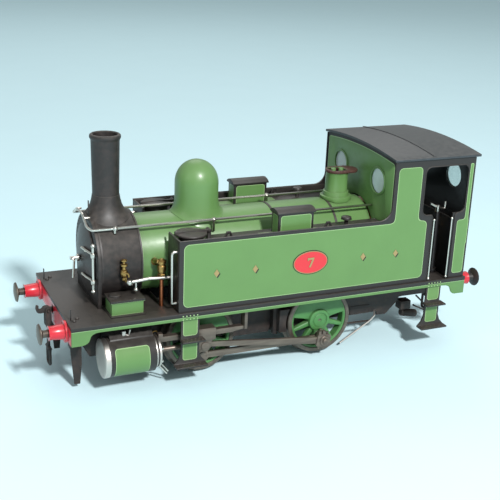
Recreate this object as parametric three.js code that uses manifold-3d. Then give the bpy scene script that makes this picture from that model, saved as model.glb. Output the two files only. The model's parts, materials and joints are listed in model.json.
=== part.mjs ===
// Side-tank dock shunting locomotive: a 10 mm to the foot live steam model for 45 mm track.
// Working frame of the functions: x = 0 midway between the axles, -X towards the chimney, z = 0 at rail level,
// millimetres. The exported group moves it so that the origin is the bottom centre of the whole engine.
import * as THREE from "three";
import { mergeVertices } from "three/addons/utils/BufferGeometryUtils.js";
import Module from "manifold-3d";

const wasm = await Module();
wasm.setup();

// Driving dimensions
const WHEELBASE = 70;
const TREAD_R = 19.05;
const FLANGE_DEPTH = 1.5;
const CRANK_THROW = 9.17;
const BACK_TO_BACK = 40;
const TYRE_FACE_Y = 26.2;
const HUB_FACE_Y = 27;
const SPOKES = 10;
const HUB_R = 6.4;
const AXLE_R = 2.6;
const JOURNAL_R = 2;

const FOOTPLATE = { x0: -106.4, x1: 120.2, y: 39.6, top: 39.6, thickness: 1.6 };
const VALANCE = { thin: 2.2, deep: 9.8, thickness: 1 };
const FRAME_Y = 16.2;
const FRAME_THICKNESS = 1.6;
const BUFFER = { y: 28.8, z: 34, frontFace: -120.4, rearFace: 135.4, headR: 5.4 };
const STOCK_LENGTH = 8.7;

const BOILER = { z: 60.8, r: 20, x0: -64.6, x1: 68.2 };
const SMOKEBOX = { z: 60.8, r: 22.6, x0: -88, x1: -65 };
const CHIMNEY = { x: -77.8, top: 124.1, rimR: 7.8, boreR: 5.4 };
const DOME = { x: -29, r: 11.5, top: 108 };
const VALVE_CASING = { x: 54.5, top: 97 };

const TANK = { x0: -51.7, x1: 68.2, y: 38.1, inner: 21.3, rim: 77.2, floor: 73.5 };
const CAB = { x0: 68.6, x1: 119.2, y: 38.1, eave: 109.2, rise: 2.6, wall: 1.2 };
const ROOF = { x0: 67.2, x1: 121.8, y: 39.2, thickness: 1.3 };
const DOORWAY = { x0: 94.5, x1: 107.9 };
const CUTOUT = { x0: 87.3, x1: 115.3, z0: 78.1, z1: 105.3, r: 3.6 };
const SPECTACLE = { y: 20.8, z: 94.7, r: 7.2 };
const HANDBRAKE = { x: 106, y: -26 };

const CYLINDER = { y: 32, z: 18.2, r: 9.9, x0: -90, x1: -61, boreR: 7.2 };
const CROSSHEAD_X = -36;
const ROD_LENGTH = Math.hypot(WHEELBASE / 2 - CROSSHEAD_X, CYLINDER.z - (TREAD_R - CRANK_THROW));
const SLIDE_BAR = { z0: 23.5, z1: 26.3, x1: -14.4, relief: -21.5 };
const COUPLING_ROD_Y = [27.4, 29.8];
const CONNECTING_ROD_Y = [31.7, 33.3];
const RUNNING_GAP = 0.3;
const ROUND = 20;

// Solids
function solid(geometry) {
  const bare = geometry.index ? geometry.toNonIndexed() : geometry.clone();
  bare.deleteAttribute("normal");
  bare.deleteAttribute("uv");
  const merged = mergeVertices(bare, 1e-4);
  return new wasm.Manifold(
    new wasm.Mesh({
      numProp: 3,
      vertProperties: merged.attributes.position.array,
      triVerts: new Uint32Array(merged.index.array),
    }),
  );
}

function join(first, ...others) {
  return others.reduce((sum, other) => sum.add(other), first);
}

function cut(first, ...others) {
  return others.reduce((rest, other) => rest.subtract(other), first);
}

function geometryOf(manifold) {
  const mesh = manifold.getMesh();
  const geometry = new THREE.BufferGeometry();
  geometry.setAttribute("position", new THREE.BufferAttribute(new Float32Array(mesh.vertProperties), 3));
  geometry.setIndex(new THREE.BufferAttribute(new Uint32Array(mesh.triVerts), 1));
  geometry.computeVertexNormals();
  return geometry;
}

// A box from its limits along x, y and z.
function box(x0, x1, y0, y1, z0, z1) {
  const geometry = new THREE.BoxGeometry(x1 - x0, y1 - y0, z1 - z0);
  geometry.translate((x0 + x1) / 2, (y0 + y1) / 2, (z0 + z1) / 2);
  return solid(geometry);
}

// A turned piece: profile points are [radius, distance along the axis], given either way round.
// The profile starts and ends on the axis, or closes on itself for a ring.
function turned(profile, axis, centre, sides = ROUND) {
  const points = profile.map(([r, d]) => new THREE.Vector2(r, d));
  if (THREE.ShapeUtils.area(points) < 0) points.reverse();
  const geometry = new THREE.LatheGeometry(points, sides);
  if (axis === "x") geometry.rotateZ(-Math.PI / 2);
  if (axis === "z") geometry.rotateX(Math.PI / 2);
  geometry.translate(...centre);
  return solid(geometry);
}

// A plain round bar between two distances along an axis.
function bar(r, d0, d1, axis, centre, sides = ROUND) {
  return turned([[0, d0], [r, d0], [r, d1], [0, d1]], axis, centre, sides);
}

// An outline given as a shape or as a list of points.
function asShape(outline) {
  if (outline instanceof THREE.Shape) return outline;
  return new THREE.Shape(outline.map(([a, b]) => new THREE.Vector2(a, b)));
}

// A flat plate cut to an outline of [x, z] points, between two values of y.
function plateXZ(outline, y0, y1, curveSegments = 4) {
  const shape = asShape(outline);
  const geometry = new THREE.ExtrudeGeometry(shape, { depth: y1 - y0, bevelEnabled: false, curveSegments });
  geometry.rotateX(Math.PI / 2);
  geometry.translate(0, y1, 0);
  return solid(geometry);
}

// A flat plate cut to an outline of [y, z] points, between two values of x.
function plateYZ(outline, x0, x1) {
  const shape = asShape(outline);
  const geometry = new THREE.ExtrudeGeometry(shape, { depth: x1 - x0, bevelEnabled: false, curveSegments: 12 });
  geometry.rotateX(Math.PI / 2).rotateZ(Math.PI / 2);
  geometry.translate(x0, 0, 0);
  return solid(geometry);
}

// A rectangle with round corners, as a shape in the plane of a plate.
function roundedRect(a0, a1, b0, b1, r) {
  const shape = new THREE.Shape();
  shape.moveTo(a0 + r, b0);
  shape.lineTo(a1 - r, b0);
  shape.absarc(a1 - r, b0 + r, r, -Math.PI / 2, 0);
  shape.absarc(a1 - r, b1 - r, r, 0, Math.PI / 2);
  shape.absarc(a0 + r, b1 - r, r, Math.PI / 2, Math.PI);
  shape.absarc(a0 + r, b0 + r, r, Math.PI, 1.5 * Math.PI);
  return shape;
}

// A rod or pipe bent along straight runs with short rounded corners.
function bentRod(points, r, sides = 6) {
  const corners = points.map((p) => new THREE.Vector3(...p));
  const path = new THREE.CurvePath();
  const bend = r * 1.8;
  let from = corners[0];
  for (let i = 1; i < corners.length - 1; i++) {
    const before = corners[i].clone().sub(from).setLength(bend);
    const after = corners[i + 1].clone().sub(corners[i]).setLength(bend);
    const enter = corners[i].clone().sub(before);
    const leave = corners[i].clone().add(after);
    path.add(new THREE.LineCurve3(from, enter));
    path.add(new THREE.QuadraticBezierCurve3(enter, corners[i], leave));
    from = leave;
  }
  path.add(new THREE.LineCurve3(from, corners[corners.length - 1]));
  const stations = [];
  path.curves.forEach((curve) => {
    const steps = curve.isLineCurve3 ? 1 : 3;
    for (let i = 0; i < steps; i++) stations.push(curve.getPoint(i / steps));
  });
  stations.push(corners[corners.length - 1].clone());
  return sweep(stations, r, sides);
}

// A path that an extrusion follows through a list of points, one step to each.
class Stations extends THREE.Curve {
  constructor(points) {
    super();
    this.points = points;
    this.last = points.length - 1;
  }

  getPointAt(share) {
    return this.points[Math.round(share * this.last)].clone();
  }

  getTangentAt(share) {
    const at = Math.round(share * this.last);
    const ahead = this.points[Math.min(at + 1, this.last)].clone();
    return ahead.sub(this.points[Math.max(at - 1, 0)]).normalize();
  }

  getSpacedPoints() {
    return this.points.map((point) => point.clone());
  }
}

// A round section carried through a list of points.
function sweep(stations, r, sides) {
  const turns = [...Array(sides).keys()].map((k) => (2 * Math.PI * k) / sides);
  const section = asShape(turns.map((turn) => [r * Math.cos(turn), r * Math.sin(turn)]));
  const extrudePath = new Stations(stations);
  return solid(new THREE.ExtrudeGeometry(section, { steps: extrudePath.last, extrudePath }));
}

// Materials
const PAINTS = {
  green: [0x4f8f45, 0.45, 0],
  black: [0x2a2624, 0.6, 0],
  red: [0xc8323c, 0.45, 0],
  steel: [0xb9b6b0, 0.35, 0.9],
  darkSteel: [0x4a4340, 0.5, 0.7],
  copper: [0xb0633f, 0.4, 0.9],
  brass: [0xa08048, 0.4, 0.9],
};

function material(paint) {
  const [color, roughness, metalness] = PAINTS[paint];
  return new THREE.MeshStandardMaterial({ color, roughness, metalness });
}

const engine = new THREE.Group();
const rightHand = new THREE.Group();
rightHand.scale.y = -1;
engine.add(rightHand);

function add(name, manifold, paint, group = engine) {
  const mesh = new THREE.Mesh(geometryOf(manifold), material(paint));
  mesh.name = name;
  group.add(mesh);
}

// A piece made for the left side (-Y) and its mirror image for the right.
function addPair(name, make, paint) {
  add(name + "_left", make(-1), paint);
  add(name + "_right", make(1), paint, rightHand);
}

// Frames
function framePlate() {
  const y0 = -FRAME_Y - FRAME_THICKNESS;
  const outline = [
    [-104.4, 26], [-96, 20], [-92, 13], [-45, 13], [-42, 10.5], [-28, 10.5], [-25, 12.5], [8, 12.5], [9, 15.2],
    [14, 15.2], [15, 12.5], [26, 12.5], [28, 10.5], [42, 10.5], [45, 15.2], [77.2, 15.2], [77.2, 12.8], [83.1, 12.8],
    [90, 19.4], [91.5, 22.5], [118, 22.5], [118, 37.9], [-104.4, 37.9],
  ];
  const plate = plateXZ(outline, y0, -FRAME_Y);
  const axleHoles = [-1, 1].map((end) =>
    bar(AXLE_R + 0.4, -1, 4, "y", [(end * WHEELBASE) / 2, -FRAME_Y - FRAME_THICKNESS - 1, TREAD_R], 20));
  const guardIron = join(
    box(-103, -97.4, y0 - 4, y0 + 0.5, 20.5, 28),
    plateXZ([[-103, 28], [-103, 20], [-101.4, 1.2], [-98.4, 1.2], [-97.4, 12], [-97.4, 28]], y0 - 5, y0 - 4),
  );
  return join(cut(plate, ...axleHoles), guardIron);
}

function frameStretcher() {
  const edge = FRAME_Y - 0.05;
  const web = box(-58, -56, -edge, edge, 17, 37.9);
  const flange = box(-58, -48, -edge, edge, 17, 19);
  return cut(join(web, flange), bar(5, -62, -52, "x", [0, 0, 29], 16));
}

function bufferStock(outward, face) {
  const body = [[0, -0.6], [3.9, -0.6], [3.9, 0], [5.5, 0], [5.5, 1.2], [3.9, 1.2], [3.4, STOCK_LENGTH - 0.8],
    [3.8, STOCK_LENGTH]];
  const hollow = [[2.2, STOCK_LENGTH], [2.2, 1.2], [0, 1.2]];
  const profile = [...body, ...hollow].map(([r, d]) => [r, outward * d]);
  return (side) => turned(profile, "x", [face, side * BUFFER.y, BUFFER.z], 16);
}

function bufferBeam(outward, face) {
  const inner = face - outward * 1.8;
  const half = FOOTPLATE.y - VALANCE.thickness - 0.1;
  const beam = box(Math.min(inner, face), Math.max(inner, face), -half, half, 29.8, 37.9);
  const middle = box(Math.min(inner, face), Math.max(inner, face), -13, 13, 26.5, 30);
  const slot = box(Math.min(inner, face) - 1, Math.max(inner, face) + 1, -1.1, 1.1, 31.4, 36.6);
  const stock = bufferStock(outward, face);
  return cut(join(beam, middle, stock(-1), stock(1)), slot);
}

function bufferHead(outward, faceX) {
  return (side) => {
    const d = (fromFace) => -outward * fromFace;
    const profile = [[0, d(0)], [2.4, d(0)], [BUFFER.headR - 0.4, d(0.5)], [BUFFER.headR, d(1.3)], [1.9, d(2.4)],
      [1.9, d(8.6)], [0, d(8.6)]];
    return turned(profile, "x", [faceX, side * BUFFER.y, BUFFER.z], 16);
  };
}

function drawHook(outward, face) {
  const shape = new THREE.Shape();
  const x = (d) => face + outward * d;
  shape.moveTo(x(-2.6), 33);
  shape.lineTo(x(4.2), 33);
  shape.quadraticCurveTo(x(7.2), 32.2, x(8.2), 33.6);
  shape.quadraticCurveTo(x(9.2), 35.4, x(8.2), 37.2);
  shape.lineTo(x(7.2), 36.8);
  shape.quadraticCurveTo(x(7.6), 35, x(6.4), 34.8);
  shape.quadraticCurveTo(x(5.4), 34.8, x(5), 36);
  shape.lineTo(x(3.8), 36.4);
  shape.lineTo(x(1), 35.4);
  shape.lineTo(x(-2.6), 35.2);
  const hook = plateXZ(shape, -0.8, 0.8, 3);
  const pin = bar(0.7, -3.2, 3.2, "y", [x(2.6), 0, 34.2], 8);
  const eye = bar(1.3, -0.9, 0.9, "y", [x(2.6), 0, 34.2], 8);
  return join(hook, eye, pin);
}

// Hangs from the pin through the draw hook: two plate links, the screw and the long bow.
function screwCoupling(outward, face) {
  const x = face + outward * 2.6;
  const z = 34.2;
  const link = (y0, y1) => cut(
    plateXZ(roundedRect(x - 1.5, x + 1.5, z - 9.5, z + 1.5, 1.4), y0, y1, 2),
    bar(1, y0 - 1, y1 + 1, "y", [x, 0, z], 8),
  );
  const cross = bar(1.1, -3.3, 3.3, "y", [x, 0, z - 8.3], 8);
  const screw = bar(0.9, z - 22, z - 8, "z", [x, 0, 0], 8);
  const nut = bar(1.1, -3.3, 3.3, "y", [x, 0, z - 21], 8);
  const bow = bentRod([[x, -3, z - 21], [x, -3, z - 30], [x, 3, z - 30], [x, 3, z - 21]], 0.8);
  return join(link(-2.5, -1.3), link(1.3, 2.5), cross, screw, nut, bow);
}

function footplate() {
  const { x0, x1, y, top, thickness } = FOOTPLATE;
  const plate = box(x0, x1, -y, y, top - thickness, top);
  const wheelSlots = [-1, 1].flatMap((end) => [-1, 1].map((side) => {
    const x = (end * WHEELBASE) / 2;
    return box(x - 11, x + 11, Math.min(side * 19, side * 27), Math.max(side * 19, side * 27), 30, 50);
  }));
  const bodySlots = [box(-55.5, -15, -15, 15, 30, 50), box(-10, 66, -15, 15, 30, 50)];
  const valance = (side) => {
    const outline = new THREE.Shape();
    const deep = top - VALANCE.deep;
    const thin = top - thickness - VALANCE.thin;
    const front = x0 + 0.15;
    const rear = x1 - 0.15;
    outline.moveTo(front, top - 0.8);
    outline.lineTo(front, deep);
    outline.lineTo(front + 5, deep);
    outline.quadraticCurveTo(front + 8.5, deep + 0.5, front + 9, deep + 2.8);
    outline.quadraticCurveTo(front + 9.4, thin, front + 14, thin);
    outline.lineTo(rear - 15, thin);
    outline.quadraticCurveTo(rear - 9.6, thin, rear - 9, deep + 2.8);
    outline.quadraticCurveTo(rear - 8.5, deep + 0.3, rear - 6, deep);
    outline.lineTo(rear, deep);
    outline.lineTo(rear, top - 0.8);
    const outer = side * (y - 0.15);
    const inner = side * (y - VALANCE.thickness);
    return plateXZ(outline, Math.min(outer, inner), Math.max(outer, inner));
  };
  return join(cut(plate, ...wheelSlots, ...bodySlots), valance(-1), valance(1));
}

// A hanging step plate with two treads that stand outwards.
function stepPlate(x0, x1, midTread, lowTread) {
  const y0 = -FOOTPLATE.y + VALANCE.thickness + 0.05;
  const y1 = y0 + 1;
  const flare = [[x0, 37.9], [x0, lowTread + 6], [x0 - 1.4, lowTread + 2.4], [x0 - 3.6, lowTread],
    [x1 + 3.6, lowTread], [x1 + 1.4, lowTread + 2.4], [x1, lowTread + 6], [x1, 37.9]];
  const back = plateXZ(flare, y0, y1);
  const tread = (a, b, z) => box(a, b, y0 - 4.6, y1, z - 0.9, z);
  const gusset = box((x0 + x1) / 2 - 3, (x0 + x1) / 2 + 3, y1 - 0.1, -FRAME_Y - FRAME_THICKNESS - 0.05, 36.6, 37.9);
  return { back, tread, midTread, lowTread, gusset };
}

function frontStep() {
  const step = stepPlate(-50.4, -40.6, 25.4, 11.6);
  return join(step.back, step.tread(-51, -38.6, step.midTread), step.tread(-54, -37, step.lowTread));
}

function rearStep() {
  const step = stepPlate(95.3, 104.9, 26.2, 12.4);
  return join(step.back, step.gusset, step.tread(93.9, 106.3, step.midTread), step.tread(91.7, 108.5, step.lowTread));
}

// Cylinders and motion
function cylinder() {
  const { y, z, r, x0, x1, boreR } = CYLINDER;
  const centre = [0, -y, z];
  const barrel = bar(r, x0 + 4, x1 - 2.8, "x", centre, 24);
  const frontRing = turned([[0, x0 + 1], [7.2, x0 + 0.7], [8.4, x0], [r + 0.1, x0 + 0.4], [r + 0.1, x0 + 4.1],
    [0, x0 + 4.1]], "x", centre, 24);
  const rearCover = turned([[0, x1], [4.4, x1], [4.4, x1 - 1], [8.4, x1 - 1], [8.4, x1 - 3], [0, x1 - 3]],
    "x", centre, 24);
  const chest = plateYZ([[-36.2, 24], [-34.5, 28.4], [-26, 34], [-FRAME_Y - FRAME_THICKNESS - 0.05, 34],
    [-FRAME_Y - FRAME_THICKNESS - 0.05, 12], [-27, 10]], x0 + 4, x1 - 2.8);
  const bore = bar(boreR, x0 + 2.6, x1 - 1.6, "x", centre, 16);
  const gland = bar(1.7, x1 - 3, x1 + 3, "x", centre, 12);
  return cut(join(barrel, frontRing, rearCover, chest), bore, gland);
}

function slideBar() {
  const { z0, z1, x1 } = SLIDE_BAR;
  const end = x1 + 1.6;
  const near = CYLINDER.x1 + 0.05;
  const rail = plateXZ([[near, z0], [SLIDE_BAR.relief, z0], [end, z0 + 1.3], [end, z1], [near, z1]], -34.6, -31.4);
  const foot = box(CYLINDER.x1 + 0.05, CYLINDER.x1 + 2.4, -34.6, -31.4, z0, z1 + 1.6);
  const leg = box(x1, end, -36, -30.6, z0 + 1.3, 37.9);
  const arm = box(x1, end, -36, -FRAME_Y - FRAME_THICKNESS - 0.05, 33, 37.9);
  return join(rail, foot, leg, arm);
}

function crosshead() {
  const x = CROSSHEAD_X;
  const { z, y } = CYLINDER;
  const { z0, z1 } = SLIDE_BAR;
  const slipper = cut(
    box(x - 5.2, x + 5.4, -36.3, -30.5, z0 - 1.8, z1 + 1.9),
    box(x - 8, x + 8, -34.9, -31.1, z0 - RUNNING_GAP, z1 + RUNNING_GAP),
  );
  const nose = box(x - 6.6, x - 3.7, -35.4, -30.5, z - 2.6, z0 - 1);
  const cheek = plateXZ([[x - 6.6, z0 - 1], [x - 6.6, z - 2], [x - 3, z - 3], [x + 1.6, z - 3], [x + 3.2, z - 1],
    [x + 3.2, z + 1.6], [x + 5.4, z0 - 1]], -35.4, -33.7);
  const pin = bar(1.4, -34, -31.2, "y", [x, 0, z], 16);
  const pinHead = bar(2.3, -36, -35, "y", [x, 0, z], 16);
  const pistonRod = bar(1.35, x - 39, x - 5, "x", [0, -y, z], 12);
  const piston = bar(6.8, x - 41.4, x - 37.6, "x", [0, -y, z], 20);
  return join(slipper, nose, cheek, pin, pinHead, pistonRod, piston);
}

// The connecting rod lies along +X from the crosshead pin; the outline tapers from the small end to the big end.
function connectingRod() {
  const [inner, outer] = CONNECTING_ROD_Y;
  const length = ROD_LENGTH;
  const shank = plateXZ([[0, -1.3], [length, -1.9], [length, 1.9], [0, 1.3]], -outer, -inner);
  const smallEnd = bar(2.7, -outer, -inner, "y", [0, 0, 0], 20);
  const bigEnd = plateXZ(roundedRect(length - 4.6, length + 3.6, -3.7, 3.7, 1.4), -outer - 0.5, -inner);
  const cotter = box(length - 4, length - 2.6, -outer - 0.3, -inner - 0.2, 2, 5.4);
  const oilCup = bar(1, 3, 5.2, "z", [length, -(outer + inner) / 2, 0], 8);
  const eye = bar(1.75, -outer - 1, -inner + 1, "y", [0, 0, 0], 20);
  return cut(join(shank, smallEnd, bigEnd, cotter, oilCup), eye);
}

// The coupling rod is drawn along x with its driving eye at the origin.
function couplingRod() {
  const [inner, outer] = COUPLING_ROD_Y;
  const shank = box(-WHEELBASE, 0, -outer + 0.4, -inner - 0.3, -1.7, 1.7);
  const eyes = [0, -WHEELBASE].map((x) => bar(3.6, -outer, -inner, "y", [x, 0, 0], 20));
  const oilCups = [0, -WHEELBASE].map((x) => bar(0.9, 3.2, 5, "z", [x, -(outer + inner) / 2, 0], 8));
  const holes = [bar(2, -outer - 1, -inner + 1, "y", [0, 0, 0], 20),
    bar(1.7, -outer - 1, -inner + 1, "y", [-WHEELBASE, 0, 0], 20)];
  return cut(join(shank, ...eyes, ...oilCups), ...holes);
}

// A spoked wheel on the left, centred on its axle, with its crank at the angle `crank` in the x-z plane.
function wheel(crank, driving) {
  const back = -BACK_TO_BACK / 2;
  const face = -TYRE_FACE_Y;
  const rim = turned([[15.4, back], [15.4, face + 0.4], [16.8, face], [TREAD_R, face], [TREAD_R, back - 1.6],
    [TREAD_R + FLANGE_DEPTH, back - 0.7], [TREAD_R + FLANGE_DEPTH - 0.3, back], [15.4, back]],
    "y", [0, 0, 0], 32);
  const hub = bar(HUB_R, -HUB_FACE_Y, back, "y", [0, 0, 0], 24);
  const spokes = [];
  for (let i = 0; i < SPOKES; i++) {
    const spoke = new THREE.BoxGeometry(12, 2.6, 2.5);
    spoke.translate(10, back - 4, 0);
    spoke.rotateY(-(crank + (i * 2 * Math.PI) / SPOKES));
    spokes.push(solid(spoke));
  }
  const weight = new THREE.Shape();
  const half = (80 * Math.PI) / 180;
  weight.absarc(0, 0, 16, crank + Math.PI - half, crank + Math.PI + half);
  weight.lineTo(2 * Math.cos(crank + Math.PI), 2 * Math.sin(crank + Math.PI));
  const counterweight = plateXZ(weight, back - 5.9, back - 2.4);
  const px = CRANK_THROW * Math.cos(crank);
  const pz = CRANK_THROW * Math.sin(crank);
  const boss = bar(3.3, -HUB_FACE_Y, back - 2.4, "y", [px, 0, pz], 16);
  const web = new THREE.BoxGeometry(CRANK_THROW, 4, 5.4);
  web.translate(CRANK_THROW / 2, (-HUB_FACE_Y + back - 3.2) / 2, 0);
  web.rotateY(-crank);
  const pin = driving
    ? bar(1.8, -31.3, -HUB_FACE_Y + 1, "y", [px, 0, pz], 20)
    : join(bar(1.5, -30.2, -HUB_FACE_Y + 1, "y", [px, 0, pz], 20), bar(2.5, -30.25, -29.95, "y", [px, 0, pz], 12));
  const bore = bar(JOURNAL_R + 0.1, -HUB_FACE_Y - 1, back + 1, "y", [0, 0, 0], 16);
  return cut(join(rim, hub, ...spokes, counterweight, boss, solid(web), pin), bore);
}

function axle(driving) {
  const shoulder = BACK_TO_BACK / 2 - 0.1;
  const end = HUB_FACE_Y - 0.4;
  const shaft = turned([[0, -end], [JOURNAL_R, -end], [JOURNAL_R, -shoulder], [AXLE_R, -shoulder],
    [AXLE_R, shoulder], [JOURNAL_R, shoulder], [JOURNAL_R, end], [0, end]], "y", [0, 0, 0], 16);
  if (!driving) return shaft;
  const sheaves = [-1, 1].map((side) => bar(5, side * 7 - 1.6, side * 7 + 1.6, "y", [1.4, 0, 1.2], 16));
  return join(shaft, ...sheaves);
}

function brakeGear() {
  const x = 10.5;
  const hanger = (side) => {
    const y0 = side * 19;
    const plate = plateXZ([[x - 2, 37.2], [x - 1.5, 12.5], [x + 1, 12.5], [x + 1.4, 37.2]],
      Math.min(y0, side * 22), Math.max(y0, side * 22));
    const block = cut(
      plateXZ([[x + 0.5, 27.5], [x + 6.6, 27.5], [x + 6.6, 14.5], [x + 0.5, 14.5]],
        Math.min(side * 22, side * 25.4), Math.max(side * 22, side * 25.4)),
      bar(TREAD_R + 0.9, side * 23.3 - 3, side * 23.3 + 3, "y", [WHEELBASE / 2, 0, TREAD_R], 40),
    );
    const bridge = box(x + 0.4, x + 1.6, Math.min(side * 21, side * 23), Math.max(side * 21, side * 23), 18, 25);
    const pivot = bar(1, side * 20 - 2.1, side * 20 + 1, "y", [x - 0.2, 0, 35.6], 10);
    return join(plate, bridge, block, pivot);
  };
  const beam = bar(1.1, -22, 22, "y", [x - 0.2, 0, 13.6], 10);
  return join(hanger(-1), hanger(1), beam);
}

// Boiler, smokebox and their fittings
function boilerCladding() {
  const { z, r, x0, x1 } = BOILER;
  return turned([[r - 0.9, x0], [r, x0], [r, x1], [r - 0.9, x1], [r - 0.9, x0]], "x", [0, 0, z], 40);
}

function boilerShell() {
  const outer = BOILER.r - 1.6;
  const barrel = turned([[0, -60], [outer, -60], [outer, 72.6], [0, 72.6]], "x", [0, 0, BOILER.z], 24);
  const flue = bar(6.2, -62, 60, "x", [0, 0, BOILER.z - 6], 16);
  const firehole = bar(4.4, 58, 74, "x", [0, 0, BOILER.z - 6], 16);
  return cut(barrel, flue, firehole);
}

function burner() {
  return join(
    bar(4, -40, 58, "x", [0, 0, BOILER.z - 6], 14),
    bar(1.2, 57, 77, "x", [0, 0, BOILER.z - 6], 10),
  );
}

function gasTank() {
  return turned([[0, 74.6], [4.4, 74.6], [5.6, 76], [5.6, 96], [4.4, 97.4], [0, 97.4]], "x", [0, 22, 48.2], 16);
}

function smokebox() {
  const { z, r, x0, x1 } = SMOKEBOX;
  const foot = FOOTPLATE.top + 0.05;
  const wrapper = bar(r, x0 + 1.6, x1, "x", [0, 0, z], 36);
  const saddle = box(x0 + 1.6, x1, -15.8, 15.8, foot, z);
  const outline = new THREE.Shape();
  const widest = r + 0.2;
  outline.moveTo(20.4, foot);
  outline.quadraticCurveTo(21.4, z - 14, widest * Math.cos(-0.25), z + widest * Math.sin(-0.25));
  outline.absarc(0, z, widest, -0.25, Math.PI + 0.25);
  outline.quadraticCurveTo(-21.4, z - 14, -20.4, foot);
  const frontPlate = plateYZ(outline, x0, x0 + 1.8);
  const inside = bar(r - 1.4, x0 + 3, x1 - 1.4, "x", [0, 0, z], 28);
  const doorway = bar(15.4, x0 - 2, x0 + 5, "x", [0, 0, z], 28);
  const blastPipe = bar(2.2, foot, z - 6, "z", [CHIMNEY.x, 0, 0], 10);
  const chimneyHole = bar(CHIMNEY.boreR, z + 10, z + 30, "z", [CHIMNEY.x, 0, 0], 20);
  const flueHole = bar(7, x1 - 4, x1 + 3, "x", [0, 0, z - 6], 16);
  const belowFoot = box(x0 - 1, x1 + 1, -r - 1, r + 1, foot - 20, foot);
  const shell = cut(join(wrapper, saddle, frontPlate), inside, doorway, chimneyHole, flueHole, belowFoot);
  return join(shell, blastPipe);
}

function chimney() {
  const { x, top, rimR, boreR } = CHIMNEY;
  const bottom = 77;
  const body = turned([[boreR, bottom], [12.6, bottom], [12.4, 81.6], [10.4, 83.6], [8.9, 85.6], [7.9, 88], [7.1, 91],
    [6.8, 93.2], [6.6, 93.6], [7.2, 121.6], [rimR, 122.8], [rimR, 123.8], [rimR - 0.4, top], [boreR + 0.9, top],
    [boreR, 121], [boreR, bottom]], "z", [x, 0, 0], 24);
  const seat = bar(SMOKEBOX.r + 0.6, -20, 20, "x", [x, 0, SMOKEBOX.z], 36);
  return body.subtract(seat);
}

function domeCover() {
  const { x, r, top } = DOME;
  const shoulder = 96;
  const profile = [[0, 72], [14.7, 72], [14.6, 80.3], [13, 81.6], [12, 83.8], [r + 0.05, 87.5]];
  for (let i = 0; i <= 5; i++) {
    const turn = (i * Math.PI) / 10;
    profile.push([r * Math.cos(turn), shoulder + (top - shoulder) * Math.sin(turn)]);
  }
  const cover = turned(profile, "z", [x, 0, 0], 28);
  return cover.subtract(bar(BOILER.r + 0.3, -25, 25, "x", [x, 0, BOILER.z], 40));
}

function safetyValveCover() {
  const { x, top } = VALVE_CASING;
  const upright = (x0, x1, halfWidth, r, z0, z1) => {
    const column = new THREE.ExtrudeGeometry(roundedRect(x0, x1, -halfWidth, halfWidth, r),
      { depth: z1 - z0, bevelEnabled: false, curveSegments: 4 });
    column.translate(0, 0, z0);
    return solid(column);
  };
  const body = upright(x - 5.9, x + 5.9, 5.3, 4.2, 75, top - 0.8);
  const base = upright(x - 8.8, x + 8.8, 7.8, 7.6, 75, 82.4);
  const bead = upright(x - 7.1, x + 7.1, 6.5, 6.2, 82.3, 84.8);
  const lip = upright(x - 6.5, x + 11.8, 5.9, 5.6, top - 1.3, top);
  const well = box(x - 4.5, x + 4.5, -3.8, 3.8, top - 7, top + 2);
  const valves = [-2.4, 2.4].map((d) => bar(1.4, top - 8, top + 0.6, "z", [x + d, 0, 0], 10));
  const cover = cut(join(body, base, bead, lip), well,
    bar(BOILER.r + 0.35, x - 20, x + 20, "x", [0, 0, BOILER.z], 40));
  return join(cover, ...valves);
}

// Side tanks: a hollow box with a sunk top, the filler, the toolbox and the lifting brackets on it.
function sideTank() {
  const { x0, x1, y, inner, rim, floor } = TANK;
  const bottom = FOOTPLATE.top + 0.05;
  const block = box(x0, x1, -y, -inner, bottom, rim);
  const sunkTop = box(x0 + 1, x1 + 1, -y + 1, -inner + 1, floor, rim + 5);
  const wheelPockets = [-1, 1].map((end) => {
    const x = (end * WHEELBASE) / 2;
    return box(x - 11, x + 11, -28, -18, bottom - 1, bottom + 2.2);
  });
  const boilerSide = bar(BOILER.r + 0.7, x0 - 5, x1 + 5, "x", [0, 0, BOILER.z], 40);
  const fillerNeck = bar(6.4, floor - 0.5, 76.6, "z", [-42, -27.5, 0], 20);
  const water = box(x0 + 4, x1 - 4, -y + 2, -inner - 3, bottom + 6, floor - 2);
  const fillerHole = bar(4.8, floor - 6, 90, "z", [-42, -27.5, 0], 16);
  const toolboxBody = box(3.5, 23.5, -33.6, -25.2, floor - 0.5, 85);
  const crest = plateXZ([[2.6, 84.8], [24.4, 84.8], [24.4, 85.6], [2.6, 85.6]], -34.4, -24.4);
  const lid = plateYZ([[-34.4, 85.5], [-24.4, 85.5], [-26.4, 86.7], [-29.4, 87.2], [-32.4, 86.7]], 2.6, 24.4);
  const bracket = (x) => cut(
    plateXZ([[x - 3.4, floor - 0.4], [x + 3.4, floor - 0.4], [x + 1, 78.6], [x - 1, 78.6]], -33.8, -32.8),
    bar(0.9, -35, -31, "y", [x, 0, 76.6], 10),
  );
  const vent = turned([[0, floor - 0.5], [1.1, floor - 0.5], [1.1, 77.2], [3, 77.6], [2.6, 79], [0, 79.6]], "z",
    [45.5, -29.5, 0], 14);
  const hingeLug = box(-33.4, -31.6, -28.8, -26.2, floor - 0.4, 77.1);
  const shell = cut(block, sunkTop, ...wheelPockets, boilerSide);
  const tank = cut(join(shell, fillerNeck), water, fillerHole);
  const handrail = bentRod([[x0 + 0.5, -34.6, 44], [x0 - 2.6, -34.6, 44], [x0 - 2.6, -34.6, 71],
    [x0 + 0.5, -34.6, 71]], 0.65);
  return join(tank, toolboxBody, crest, lid, bracket(-24), bracket(32.6), vent, hingeLug, handrail);
}

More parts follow.
